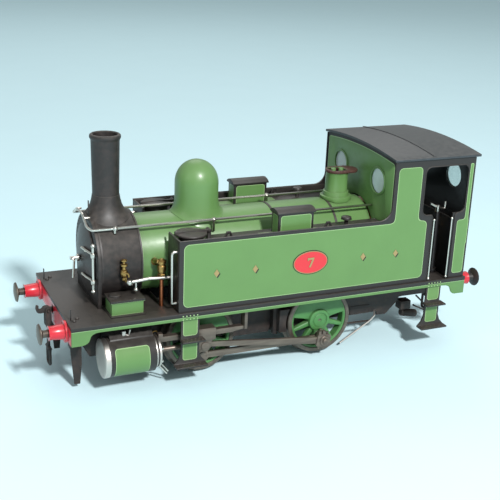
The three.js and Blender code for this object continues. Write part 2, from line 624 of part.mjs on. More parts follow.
function fillerLid() {
  const z = 76.9;
  const disc = turned([[0, z], [8, z], [8.2, z + 0.5], [8, z + 1.1], [3, z + 1.7], [0, z + 1.8]], "z",
    [-42, -27.5, 0], 28);
  const strap = box(-50.6, -33.6, -28.4, -26.6, z + 0.4, z + 2.1);
  const knuckle = bar(1, -29.4, -25.6, "y", [-32.5, 0, 78.4], 10);
  const link = box(-34, -32.4, -28.4, -26.6, z + 0.5, z + 2.1);
  return join(disc, strap, link, knuckle);
}

// The cab: four walls with their openings, open at the roof and over the footplate.
function cab() {
  const { x0, x1, y, eave, rise, wall } = CAB;
  const bottom = FOOTPLATE.top + 0.05;
  const archHeight = (at) => eave + rise * (1 - (at / y) ** 2) - 0.1;
  const gable = new THREE.Shape();
  gable.moveTo(-y, bottom);
  gable.lineTo(y, bottom);
  for (let i = 0; i <= 12; i++) {
    const at = y - (2 * y * i) / 12;
    gable.lineTo(at, archHeight(at));
  }
  const block = plateYZ(gable, x0, x1);
  const inside = box(x0 + wall, x1 - wall, -y + wall, y - wall, bottom - 1, eave + 10);
  const opening = plateXZ(roundedRect(CUTOUT.x0, CUTOUT.x1, CUTOUT.z0, CUTOUT.z1, CUTOUT.r), -50, 50);
  const doorway = box(DOORWAY.x0, DOORWAY.x1, -50, 50, bottom - 1, CUTOUT.z0 + 4);
  const windows = [x0 - 2, x1 - 4].flatMap((x) => [-1, 1].map((side) =>
    bar(SPECTACLE.r, x, x + 8, "x", [0, side * SPECTACLE.y, SPECTACLE.z], 20)));
  const boilerWay = bar(BOILER.r + 0.5, x0 - 2, x0 + 4, "x", [0, 0, BOILER.z], 36);
  const shell = cut(block, inside, opening, doorway, ...windows, boilerWay);
  const bunker = box(x1 - wall - 8.6, x1 - wall + 0.1, -y + wall - 0.1, y - wall + 0.1, bottom, 74);
  return join(shell, cut(bunker, box(DOORWAY.x1 + 2.6, x1 - wall - 0.2, -y + 4, y - 4, 50, 80)));
}

function cabRoof() {
  const { x0, x1, y, thickness } = ROOF;
  const { eave, rise } = CAB;
  const arch = (at, lift) => eave + rise * (1 - (at / CAB.y) ** 2) + lift;
  const outline = new THREE.Shape();
  for (let i = 0; i <= 14; i++) {
    const at = y - (2 * y * i) / 14;
    if (i === 0) outline.moveTo(at, arch(at, 0.25));
    else outline.lineTo(at, arch(at, 0.25));
  }
  for (let i = 0; i <= 14; i++) {
    const at = -y + (2 * y * i) / 14;
    outline.lineTo(at, arch(at, 0.25 + thickness));
  }
  const rib = new THREE.Shape();
  for (let i = 0; i <= 14; i++) {
    const at = y - 1 - (2 * (y - 1) * i) / 14;
    if (i === 0) rib.moveTo(at, arch(at, thickness));
    else rib.lineTo(at, arch(at, thickness));
  }
  for (let i = 0; i <= 14; i++) {
    const at = -y + 1 + (2 * (y - 1) * i) / 14;
    rib.lineTo(at, arch(at, thickness + 0.75));
  }
  return join(plateYZ(outline, x0, x1), plateYZ(rib, 91.6, 93));
}

function boilerHandrail() {
  const y = 16.5;
  const z = 79.9;
  const x0 = -91.2;
  const rail = bentRod([[CAB.x0 - 0.4, -y, z], [x0 + 1.6, -y, z], [x0, -y + 3, z + 0.9], [x0, -5, 85.2], [x0, 5, 85.2],
    [x0, y - 3, z + 0.9], [x0 + 1.6, y, z], [CAB.x0 - 0.4, y, z]], 0.7);
  const knob = (x, side, r) => {
    const seat = BOILER.z + Math.sqrt(r * r - (y - 0.8) ** 2);
    return turned([[0, seat], [0.8, seat], [0.6, z - 1.2], [1.2, z - 1], [1.2, z + 0.9], [0, z + 1.2]],
      "z", [x, side * y, 0], 6);
  };
  const posts = [[-77.8, SMOKEBOX.r], [-25.4, BOILER.r], [19.6, BOILER.r]].flatMap(([x, r]) =>
    [-1, 1].map((side) => knob(x, side, r + 0.35)));
  const frontPosts = [-8.5, 8.5].map((at) => bar(0.6, x0, SMOKEBOX.x0 - 0.3, "x", [0, at, 84.1], 8));
  return join(rail, ...posts, ...frontPosts);
}

function smokeboxDoor() {
  const x = SMOKEBOX.x0 - 0.35;
  const z = SMOKEBOX.z;
  const dish = turned([[0, x - 3.4], [6, x - 3.1], [12, x - 2.1], [16.4, x - 0.9], [17.6, x - 0.6], [17.6, x], [0, x]],
    "x", [0, 0, z], 28);
  const strap = (height) => box(x - 2.6, x - 0.3, -18.6, -5, z + height - 0.9, z + height + 0.9);
  const post = bar(0.9, z - 11.5, z + 11.5, "z", [x - 1.4, -18.9, 0], 10);
  const spindleHole = bar(1.3, x - 6, x + 3, "x", [0, 0, z], 12);
  return cut(join(dish, strap(7), strap(-7), post), spindleHole);
}

function doorDart() {
  const x = SMOKEBOX.x0 - 0.35;
  const z = SMOKEBOX.z;
  const spindle = bar(0.9, x - 8.4, x + 2.4, "x", [0, 0, z], 10);
  const boss = turned([[0, x - 5], [1.9, x - 5], [1.9, x - 3.8], [0, x - 3.8]], "x", [0, 0, z], 12);
  const bolt = box(x + 1, x + 2.4, -4.5, 4.5, z - 0.9, z + 0.9);
  const handle = (dx, dy, dz) => bentRod([[x - dx, 0, z], [x - dx - 0.6, dy, z + dz]], 0.65);
  return join(spindle, boss, bolt, handle(6.2, 0.6, -11), handle(7.8, -6.5, 1.5));
}

function sandbox() {
  const bottom = FOOTPLATE.top + 0.05;
  const base = box(-85.1, -67.4, -34, -20.2, bottom, bottom + 0.6);
  const body = box(-84.3, -68.2, -32.3, -21, bottom + 0.5, 46.8);
  const lid = box(-85, -67.4, -32.9, -20.3, 46.7, 47.8);
  const cap = turned([[0, 47.6], [3.1, 47.6], [3.1, 48.4], [2.6, 48.8], [0, 49]], "z", [-80.6, -25.2, 0], 20);
  return join(base, body, lid, cap);
}

function feedPipe() {
  const y = -25.6;
  const x = -56.6;
  const pipe = bar(1.05, FOOTPLATE.top + 0.05, 57, "z", [x, y, 0], 12);
  const union = bar(2, 54.8, 57, "z", [x, y, 0], 6);
  const body = turned([[0, 56.5], [1.5, 56.5], [2, 59.5], [2, 63], [1.2, 65], [0, 65.4]], "z", [x, y, 0], 14);
  const branch = bar(1.5, -2, 4, "y", [x, -22.4, 62], 12);
  return join(pipe, union, body, cut(branch, bar(BOILER.r + 0.35, x - 5, x + 5, "x", [0, 0, BOILER.z], 40)));
}

// Cab controls
function handbrakeColumn() {
  const { x, y } = HANDBRAKE;
  return join(
    bar(1.6, FOOTPLATE.top + 0.05, 75.4, "z", [x, y, 0], 14),
    bar(2.8, FOOTPLATE.top + 0.05, 42, "z", [x, y, 0], 14),
  );
}

function handbrakeHandle() {
  const { x, y } = HANDBRAKE;
  const grip = bentRod([[x - 4.9, y, 80.6], [x, y, 77.9], [x + 4.9, y, 76.8], [x + 4.9, y, 81]], 0.6);
  return join(grip, bar(1.3, 75.7, 79.4, "z", [x, y, 0], 12));
}

function regulatorHandle() {
  const x = 73;
  return join(
    bar(2.2, x, x + 1.6, "x", [0, 0, 72], 14),
    bar(1.1, x, x + 5.4, "x", [0, 0, 72], 10),
    box(x + 3.6, x + 5, -11.6, 1.4, 71.1, 72.9),
    box(x + 3.6, x + 9, -12.8, -11, 71.2, 72.8),
  );
}

function reversingLever() {
  const lever = plateXZ([[78.2, 40.8], [80.6, 40.8], [79.9, 70.8], [78.9, 70.8]], 30.4, 31.6);
  const grip = bar(1, 70.2, 76, "z", [79.4, 31, 0], 10);
  const latch = plateXZ([[80.9, 60.4], [81.5, 60.4], [80.9, 73.2], [80.3, 73.2]], 30.6, 31.4);
  const lug = box(79.3, 81.2, 30.6, 31.4, 62, 64);
  return join(lever, grip, latch, lug, bar(1.6, 29.8, 32.2, "y", [79.4, 0, 42], 12));
}

// Assembly
addPair("frame_plate", framePlate, "darkSteel");
add("frame_stretcher", frameStretcher(), "darkSteel");
add("front_buffer_beam", bufferBeam(-1, FOOTPLATE.x0), "red");
add("rear_buffer_beam", bufferBeam(1, FOOTPLATE.x1), "red");
add("footplate", footplate(), "black");
addPair("front_step", frontStep, "black");
addPair("rear_step", rearStep, "black");
add("draw_hook_front", drawHook(-1, FOOTPLATE.x0), "darkSteel");
add("draw_hook_rear", drawHook(1, FOOTPLATE.x1), "darkSteel");
add("screw_coupling_front", screwCoupling(-1, FOOTPLATE.x0), "darkSteel");
add("screw_coupling_rear", screwCoupling(1, FOOTPLATE.x1), "darkSteel");
for (const [side, name] of [[-1, "left"], [1, "right"]]) {
  add("buffer_head_front_" + name, bufferHead(-1, BUFFER.frontFace)(side), "steel");
  add("buffer_head_rear_" + name, bufferHead(1, BUFFER.rearFace)(side), "darkSteel");
}

addPair("cylinder", cylinder, "green");
addPair("slide_bar", slideBar, "darkSteel");
add("brake_gear", brakeGear(), "darkSteel");

// The left crank points straight down at rest, and the right one a quarter turn from it, straight back.
const CRANK = { left: -Math.PI / 2, right: 0 };
const pinOf = (crank, end) => [(end * WHEELBASE) / 2 + CRANK_THROW * Math.cos(crank), 0,
  TREAD_R + CRANK_THROW * Math.sin(crank)];

function place(name, manifold, paint, position, group, turn = 0) {
  const holder = new THREE.Group();
  holder.position.set(...position);
  holder.rotation.y = turn;
  add(name, manifold, paint, holder);
  group.add(holder);
}

for (const [name, end, driving] of [["leading", -1, false], ["driving", 1, true]]) {
  const centre = [(end * WHEELBASE) / 2, 0, TREAD_R];
  place(name + "_axle", axle(driving), "steel", centre, engine);
  place(name + "_wheel_left", wheel(CRANK.left, driving), "green", centre, engine);
  place(name + "_wheel_right", wheel(CRANK.right, driving), "green", centre, rightHand);
}

for (const [name, group] of [["left", engine], ["right", rightHand]]) {
  const [pinX, , pinZ] = pinOf(CRANK[name], 1);
  const drop = CYLINDER.z - pinZ;
  const reach = Math.sqrt(ROD_LENGTH ** 2 - drop ** 2);
  const crossheadX = pinX - reach;
  place("coupling_rod_" + name, couplingRod(), "darkSteel", [pinX, 0, pinZ], group);
  place("connecting_rod_" + name, connectingRod(), "darkSteel", [crossheadX, 0, CYLINDER.z], group,
    Math.asin(drop / ROD_LENGTH));
  place("crosshead_" + name, crosshead(), "darkSteel", [crossheadX - CROSSHEAD_X, 0, 0], group);
}

add("boiler_cladding", boilerCladding(), "green");
add("boiler_shell", boilerShell(), "copper");
add("gas_burner", burner(), "brass");
add("gas_tank", gasTank(), "brass");
add("smokebox", smokebox(), "black");
add("chimney", chimney(), "black");
add("dome_cover", domeCover(), "green");
add("safety_valve_cover", safetyValveCover(), "green");
add("boiler_handrail", boilerHandrail(), "steel");
add("smokebox_door", smokeboxDoor(), "black");
add("smokebox_dart", doorDart(), "steel");
addPair("side_tank", sideTank, "green");
addPair("filler_lid", fillerLid, "black");
addPair("sandbox", sandbox, "green");
addPair("feed_pipe", feedPipe, "brass");

add("cab", cab(), "green");
add("cab_roof", cabRoof(), "black");
add("handbrake_column", handbrakeColumn(), "black");
add("handbrake_handle", handbrakeHandle(), "steel");
add("regulator_handle", regulatorHandle(), "steel");
add("reversing_lever", reversingLever(), "steel");

// The whole engine stands on its wheel flanges, with the origin below the middle of its length over buffers.
engine.position.set(-(BUFFER.frontFace + BUFFER.rearFace) / 2, 0, FLANGE_DEPTH);
const group = new THREE.Group();
group.add(engine);

export default group;
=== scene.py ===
"""Side-tank dock shunting locomotive for 45 mm track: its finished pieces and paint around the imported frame.

Sizes are millimetres from midway between the axles at rail level; dressed() turns them to metres.
"""
import json
import logging
import math
from contextlib import contextmanager
from dataclasses import dataclass, replace
from enum import Enum
from typing import Any, Iterator, Sequence

import bpy
from mathutils import Matrix, Vector

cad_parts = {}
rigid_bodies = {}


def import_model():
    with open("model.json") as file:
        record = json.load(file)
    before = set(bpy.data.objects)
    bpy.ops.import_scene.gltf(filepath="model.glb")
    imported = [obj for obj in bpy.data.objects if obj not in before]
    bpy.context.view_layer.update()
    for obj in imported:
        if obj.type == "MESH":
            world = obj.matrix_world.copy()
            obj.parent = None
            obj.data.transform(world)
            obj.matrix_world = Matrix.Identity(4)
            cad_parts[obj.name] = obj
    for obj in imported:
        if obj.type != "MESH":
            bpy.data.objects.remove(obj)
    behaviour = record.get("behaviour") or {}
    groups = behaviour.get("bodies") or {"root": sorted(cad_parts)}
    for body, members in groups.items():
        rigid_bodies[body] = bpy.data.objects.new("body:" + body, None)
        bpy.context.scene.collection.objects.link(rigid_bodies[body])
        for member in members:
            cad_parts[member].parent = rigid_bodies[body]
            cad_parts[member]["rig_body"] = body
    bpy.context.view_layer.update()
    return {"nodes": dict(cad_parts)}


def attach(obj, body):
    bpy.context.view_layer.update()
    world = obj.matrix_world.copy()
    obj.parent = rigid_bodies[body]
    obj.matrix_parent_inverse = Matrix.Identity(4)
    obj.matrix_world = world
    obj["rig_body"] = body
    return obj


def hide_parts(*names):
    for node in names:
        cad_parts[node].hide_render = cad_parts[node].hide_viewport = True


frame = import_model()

LOG = logging.getLogger("locomotive")
MM = 0.001
SHIFT = Vector((-7.5, 0.0, 1.5))
CAB_HALF_WIDTH = 38.1
BOILER_Z = 60.8
CYLINDER_Z = 18.2
CYLINDER_Y = -32.0
TREAD_RADIUS = 19.05
CRANK_THROW = 9.17
Point = tuple[float, float, float]
Flat = tuple[float, float]
Tree = bpy.types.NodeTree
Thing = bpy.types.Object
Surface = bpy.types.Material


class Hand(Enum):
    """The two sides of the engine; the value is the sign of y."""

    LEFT = -1
    RIGHT = 1

    @property
    def word(self) -> str:
        """The side's name as it stands in piece names."""
        return self.name.lower()

    @property
    def flip(self) -> Point:
        """The scale that takes a left piece to this side."""
        return (1, -self.value, 1)


class Axis(Enum):
    """The line a turned piece is turned about; the value takes +Z to it."""

    X = (0.0, math.pi / 2, 0.0)
    Y = (-math.pi / 2, 0.0, 0.0)
    Z = (0.0, 0.0, 0.0)


# ---------------------------------------------------------------- modelling


def only(*things: Thing) -> None:
    """Selects just these objects, the first one active.

    Args:
        things: The objects to select.
    """
    if bpy.context.mode != "OBJECT":
        bpy.ops.object.mode_set(mode="OBJECT")
    bpy.ops.object.select_all(action="DESELECT")
    for thing in things:
        thing.select_set(True)
    bpy.context.view_layer.objects.active = things[0]


@contextmanager
def editing(thing: Thing, all_on: bool = True) -> Iterator[None]:
    """Edit mode on one object, with everything or nothing selected.

    Args:
        thing: The mesh to edit.
        all_on: True selects it all, False none of it.
    """
    only(thing)
    bpy.ops.object.mode_set(mode="EDIT")
    bpy.ops.mesh.select_mode(type="VERT")
    bpy.ops.mesh.select_all(action="SELECT" if all_on else "DESELECT")
    yield
    bpy.ops.object.mode_set(mode="OBJECT")


def pick(thing: Thing, wanted: Sequence[int]) -> None:
    """Selects some of a mesh's vertices, from edit mode.

    Args:
        thing: The mesh being edited.
        wanted: Their numbers.
    """
    bpy.ops.object.mode_set(mode="OBJECT")
    for index, vertex in enumerate(thing.data.vertices):
        vertex.select = index in wanted
    bpy.ops.object.mode_set(mode="EDIT")


def rename(thing: Thing, name: str) -> Thing:
    """Gives an object and its mesh one name."""
    thing.name = name
    thing.data.name = name
    return thing


def settle(thing: Thing) -> Thing:
    """Puts an object's place, turn and scale into its mesh."""
    only(thing)
    bpy.ops.object.transform_apply(location=True, rotation=True, scale=True)
    return thing


def mend(thing: Thing, gap: float = 1e-3) -> Thing:
    """Merges doubled vertices and turns the faces outwards.

    Args:
        thing: The mesh to mend.
        gap: How close two vertices are when they are one.

    Returns:
        The same object.
    """
    with editing(thing):
        bpy.ops.mesh.remove_doubles(threshold=gap)
        bpy.ops.mesh.normals_make_consistent(inside=False)
    return thing


def soften(thing: Thing, width: float, segments: int = 2, angle: float = 30.0) -> Thing:
    """Rounds a mesh's sharp edges.

    Args:
        thing: The mesh.
        width: The width of the rounding.
        segments: Steps across it.
        angle: Edges sharper than this many degrees are rounded.

    Returns:
        The same object.
    """
    only(thing)
    modifier = thing.modifiers.new("edge", "BEVEL")
    modifier.width = width
    modifier.segments = segments
    modifier.limit_method = "ANGLE"
    modifier.angle_limit = math.radians(angle)
    modifier.harden_normals = False
    bpy.ops.object.modifier_apply(modifier=modifier.name)
    return thing


def block(name: str, lo: Point, hi: Point, edge: float = 0.0) -> Thing:
    """A rectangular piece with rounded edges.

    Args:
        name: The piece's name.
        lo: Its lowest corner.
        hi: Its highest corner.
        edge: The width of the rounding on its edges.

    Returns:
        The object.
    """
    low, high = Vector(lo), Vector(hi)
    bpy.ops.mesh.primitive_cube_add(size=1, location=(low + high) / 2, scale=high - low)
    thing = settle(rename(bpy.context.object, name))
    return soften(thing, edge) if edge else thing


def strand(name: str, points: Sequence[Point]) -> Thing:
    """A chain of edges drawn out from one vertex.

    Args:
        name: The object's name.
        points: Where its vertices go.

    Returns:
        The object.
    """
    bpy.ops.mesh.primitive_plane_add(size=1, location=(0, 0, 0))
    thing = rename(bpy.context.object, name)
    with editing(thing):
        bpy.ops.mesh.merge(type="CENTER")
        bpy.ops.transform.translate(value=points[0])
        for before, after in zip(points, points[1:]):
            step = Vector(after) - Vector(before)
            bpy.ops.mesh.extrude_region_move(TRANSFORM_OT_translate={"value": step})
    return thing


def turned(name: str, profile: Sequence[Flat], axis: Axis, centre: Point, steps: int = 48) -> Thing:
    """A piece turned in a lathe.

    Args:
        name: Its name.
        profile: Its (radius, distance along the axis) points, from the axis back to it, or closed.
        axis: The axis it is turned about.
        centre: A point on that axis, from which the distances run.
        steps: Facets round it.

    Returns:
        The object.
    """
    thing = strand(name, [(r, 0.0, d) for r, d in profile])
    with editing(thing):
        bpy.ops.mesh.spin(steps=steps, angle=math.tau, center=(0, 0, 0), axis=(0, 0, 1))
    mend(thing)
    thing.rotation_euler = axis.value
    thing.location = centre
    return settle(thing)


def plate(name: str, outline: Sequence[Flat], across: Axis, near: float, far: float) -> Thing:
    """A flat plate cut to an outline.

    Args:
        name: Its name.
        outline: Its corners, (x, z) for a plate across Y, (y, z) across X and (x, y) across Z.
        across: The direction of its thickness.
        near: One face's distance along that direction.
        far: The other face's.

    Returns:
        The object.
    """
    lay = {
        Axis.Y: lambda a, b, d: (a, d, b),
        Axis.X: lambda a, b, d: (d, a, b),
        Axis.Z: lambda a, b, d: (a, b, d),
    }[across]
    thing = strand(name, [lay(a, b, near) for a, b in outline])
    with editing(thing):
        bpy.ops.mesh.edge_face_add()
        bpy.ops.mesh.extrude_region_move(TRANSFORM_OT_translate={"value": lay(0.0, 0.0, far - near)})
        bpy.ops.mesh.select_all(action="SELECT")
        bpy.ops.mesh.normals_make_consistent(inside=False)
    return thing


def rod(name: str, points: Sequence[Point], radius: float, bend: float = 0.0, sides: int = 3) -> Thing:
    """A round bar or pipe bent along straight runs.

    Args:
        name: Its name.
        points: Its centre line.
        radius: Half its thickness.
        bend: How far before each corner its curve begins.
        sides: Half the facets round a quarter of it.

    Returns:
        The object.
    """
    thing = strand(name, points)
    if bend and len(points) > 2:
        with editing(thing, all_on=False):
            pick(thing, range(1, len(points) - 1))
            bpy.ops.mesh.bevel(offset=bend, segments=5, affect="VERTICES")
    only(thing)
    bpy.ops.object.convert(target="CURVE")
    curve = bpy.context.object
    curve.data.bevel_depth = radius
    curve.data.bevel_resolution = sides
    curve.data.use_fill_caps = True
    bpy.ops.object.convert(target="MESH")
    return mend(rename(bpy.context.object, name), 1e-4)


def joined(name: str, *things: Thing) -> Thing:
    """Makes several meshes one object.

    Args:
        name: The new name.
        things: The objects that become one.

    Returns:
        The object.
    """
    if len(things) > 1:
        only(*things)
        bpy.ops.object.join()
    return rename(things[0], name)


def cut_away(thing: Thing, *tools: Thing) -> Thing:
    """Cuts other solids out of one, and takes them away.

    Args:
        thing: The solid that is cut.
        tools: The solids that cut it.

    Returns:
        The first object.
    """
    for tool in tools:
        only(thing)
        modifier = thing.modifiers.new("cut", "BOOLEAN")
        modifier.operation = "DIFFERENCE"
        modifier.solver = "EXACT"
        modifier.object = tool
        bpy.ops.object.modifier_apply(modifier=modifier.name)
        bpy.data.objects.remove(tool)
    return thing


def copied(thing: Thing, name: str, move: Point = (0, 0, 0), turn: Point = (0, 0, 0),
           scale: Point = (1, 1, 1)) -> Thing:
    """A copy of a piece with a mesh of its own.

    Args:
        thing: The piece to copy.
        name: The copy's name.
        move: How far it is moved, after turning and scaling about the origin.
        turn: Its turn about x, y and z in radians.
        scale: -1 on an axis mirrors it.

    Returns:
        The copy.
    """
    only(thing)
    bpy.ops.object.duplicate(linked=False)
    other = rename(bpy.context.object, name)
    other.location = move
    other.rotation_euler = turn
    other.scale = scale
    settle(other)
    if scale[0] * scale[1] * scale[2] < 0:
        with editing(other):
            bpy.ops.mesh.normals_make_consistent(inside=False)
    return other


def repeated(first: Thing, name: str, places: Sequence[Point]) -> Thing:
    """One shape copied to several places and used up.

    Args:
        first: The shape, at the origin.
        name: The name of the object that holds the copies.
        places: Where each copy goes.

    Returns:
        That object.
    """
    copies = [copied(first, name, move=place) for place in places]
    bpy.data.objects.remove(first)
    return joined(name, *copies)


def rivets(name: str, places: Sequence[Point], towards: Axis, radius: float = 0.42,
           out: float = 1.0) -> Thing:
    """Round rivet heads, one shape repeated.

    Args:
        name: The object's name.
        places: Where each head sits.
        towards: The direction their tops look.
        radius: A head's radius.
        out: 1 or -1, the way along that direction.

    Returns:
        One object that holds them all.
    """
    profile = [(0.0, radius * 0.75), (radius * 0.55, radius * 0.6), (radius, radius * 0.15), (radius, -0.2),
               (0.0, -0.2)]
    first = turned(name, [(r, d * out) for r, d in profile], towards, (0, 0, 0), steps=8)
    return repeated(first, name, places)


def arc(a: float, b: float, r: float, start: float, end: float, steps: int = 6) -> list[Flat]:
    """Points round part of a circle.

    Args:
        a: Its centre's first distance.
        b: Its centre's second distance.
        r: Its radius.
        start: The angle of the first point in degrees.
        end: The angle of the last.
        steps: Steps between them.

    Returns:
        The points in order.
    """
    turns = [math.radians(start + (end - start) * step / steps) for step in range(steps + 1)]
    return [(a + r * math.cos(t), b + r * math.sin(t)) for t in turns]


def round_rect(a0: float, a1: float, b0: float, b1: float, r: float) -> list[Flat]:
    """The outline of a rectangle with round corners.

    Args:
        a0: Its lower limit along the first direction.
        a1: Its upper limit.
        b0: Its lower limit along the second.
        b1: Its upper limit.
        r: The corners' radius.

    Returns:
        The outline's points in order.
    """
    corners = [(a1 - r, b0 + r, -90), (a1 - r, b1 - r, 0), (a0 + r, b1 - r, 90), (a0 + r, b0 + r, 180)]
    return [point for a, b, start in corners for point in arc(a, b, r, start, start + 90)]


def oval(a: float, b: float, ra: float, rb: float) -> list[Flat]:
    """The outline of an oval, given its centre and half widths."""
    turns = [math.tau * i / 40 for i in range(40)]
    return [(a + ra * math.cos(t), b + rb * math.sin(t)) for t in turns]


def ball(radius: float, at: float) -> list[Flat]:
    """The profile of a ball, pole to pole, given its radius and its centre's distance along the axis."""
    waist = [(radius * math.sin(t), at - radius * math.cos(t)) for t in (math.pi * i / 8 for i in range(1,
                                                                                                        8))]
    return [(0.0, at - radius), *waist, (0.0, at + radius)]


def saddled(thing: Thing, crown: float, radius: float, top: float) -> Thing:
    """Bends a fitting's flared base down round the barrel it stands on.

    Args:
        thing: The fitting, made as if its base lay flat on the barrel's crown.
        crown: The height of that crown.
        radius: The barrel's radius.
        top: The height above which the fitting keeps its shape.

    Returns:
        The same object.
    """
    for vertex in thing.data.vertices:
        share = min(1.0, max(0.0, (top - vertex.co.z) / (top - crown)))
        fall = radius - math.sqrt(max(1.0, radius ** 2 - vertex.co.y ** 2))
        vertex.co.z -= share * fall
    thing.data.update()
    return thing


# ---------------------------------------------------------------- finishes


def colour(code: str) -> tuple[float, float, float, float]:
    """A six-digit sRGB code as a linear colour.

    Args:
        code: The code, such as "4a6b3c".

    Returns:
        Red, green, blue and 1.
    """
    parts = [int(code[i:i + 2], 16) / 255 for i in (0, 2, 4)]
    linear = [c / 12.92 if c <= 0.04045 else ((c + 0.055) / 1.055) ** 2.4 for c in parts]
    return (*linear, 1.0)


def add(tree: Tree, kind: str, inputs: dict[Any, Any] | None = None, out: Any = 0,
        **settings: Any) -> Any:
    """Adds one node with its settings, values and links.

    Args:
        tree: The tree it goes in.
        kind: The node's type, without its usual first word.
        inputs: Socket names or numbers, each with its value or the output that feeds it.
        out: The output to hand back.
        settings: The node's own properties.

    Returns:
        That output, or None from a node that has no outputs.
    """
    node = tree.nodes.new("ShaderNode" + kind)
    for key, value in settings.items():
        setattr(node, key, value)
    for key, value in (inputs or {}).items():
        if isinstance(value, bpy.types.NodeSocket):
            tree.links.new(value, node.inputs[key])
        else:
            node.inputs[key].default_value = value
    return node.outputs[out] if len(node.outputs) else None


def empty_material(name: str) -> Surface:
    """A new material with an empty node tree.

    Args:
        name: Its name.

    Returns:
        The material.
    """
    material = bpy.data.materials.new(name)
    material.use_nodes = True
    material.node_tree.nodes.clear()
    return material


# How far the painted shade reaches out of a corner, and how much of the fine grain shows in the gloss and in
# the relief.
CORNER_REACH_MM = 3.5
GRAIN_IN_GLOSS = 0.06
GRAIN_RELIEF = 0.6
COAT_ROUGHNESS = 0.18
# The band of the quick noise over which the second colour comes in, and its strongest share.
SECOND_FROM, SECOND_FULL, SECOND_SHARE = 0.42, 0.68, 0.75
GREEN = "5a7f47"
LINE = "8fae78"
BLACK = "231f1e"


@dataclass(frozen=True)
class Panel:
    """A painted panel: the part of a surface inside a box with round edges, on both sides of the engine.

    The box reaches well past the surface in the direction that it faces; sag is how far its top falls
    away at the cab's sides, as the roof does.
    """

    lo: Point
    hi: Point
    radius: float = 1.2
    soft: float = 0.0
    sag: float = 0.0

    def distance(self, tree: Tree, place: Any) -> Any:
        """The distance outside the box in millimetres, from a place in millimetres.

        Args:
            tree: The material's tree.
            place: The output that holds the place.

        Returns:
            The distance as an output, negative inside.
        """
        low, high = Vector(self.lo), Vector(self.hi)
        half = (high - low) / 2 - Vector((self.radius,) * 3)
        if self.sag:
            across = add(tree, "VectorMath", {0: place, 1: (0, 1 / CAB_HALF_WIDTH, 0)}, 1,
                         operation="DOT_PRODUCT")
            square = add(tree, "Math", {0: across, 1: 2.0}, operation="POWER")
            fall = add(tree, "VectorMath", {0: (0, 0, self.sag), 3: square}, operation="SCALE")
            place = add(tree, "VectorMath", {0: place, 1: fall}, operation="ADD")
        away = add(tree, "VectorMath", {0: place, 1: (low + high) / 2}, operation="SUBTRACT")
        size = add(tree, "VectorMath", {0: away}, operation="ABSOLUTE")
        over = add(tree, "VectorMath", {0: size, 1: half}, operation="SUBTRACT")
        kept = add(tree, "VectorMath", {0: over, 1: (0, 0, 0)}, operation="MAXIMUM")
        length = add(tree, "VectorMath", {0: kept}, 1, operation="LENGTH")
        return add(tree, "Math", {0: length, 1: self.radius}, operation="SUBTRACT")


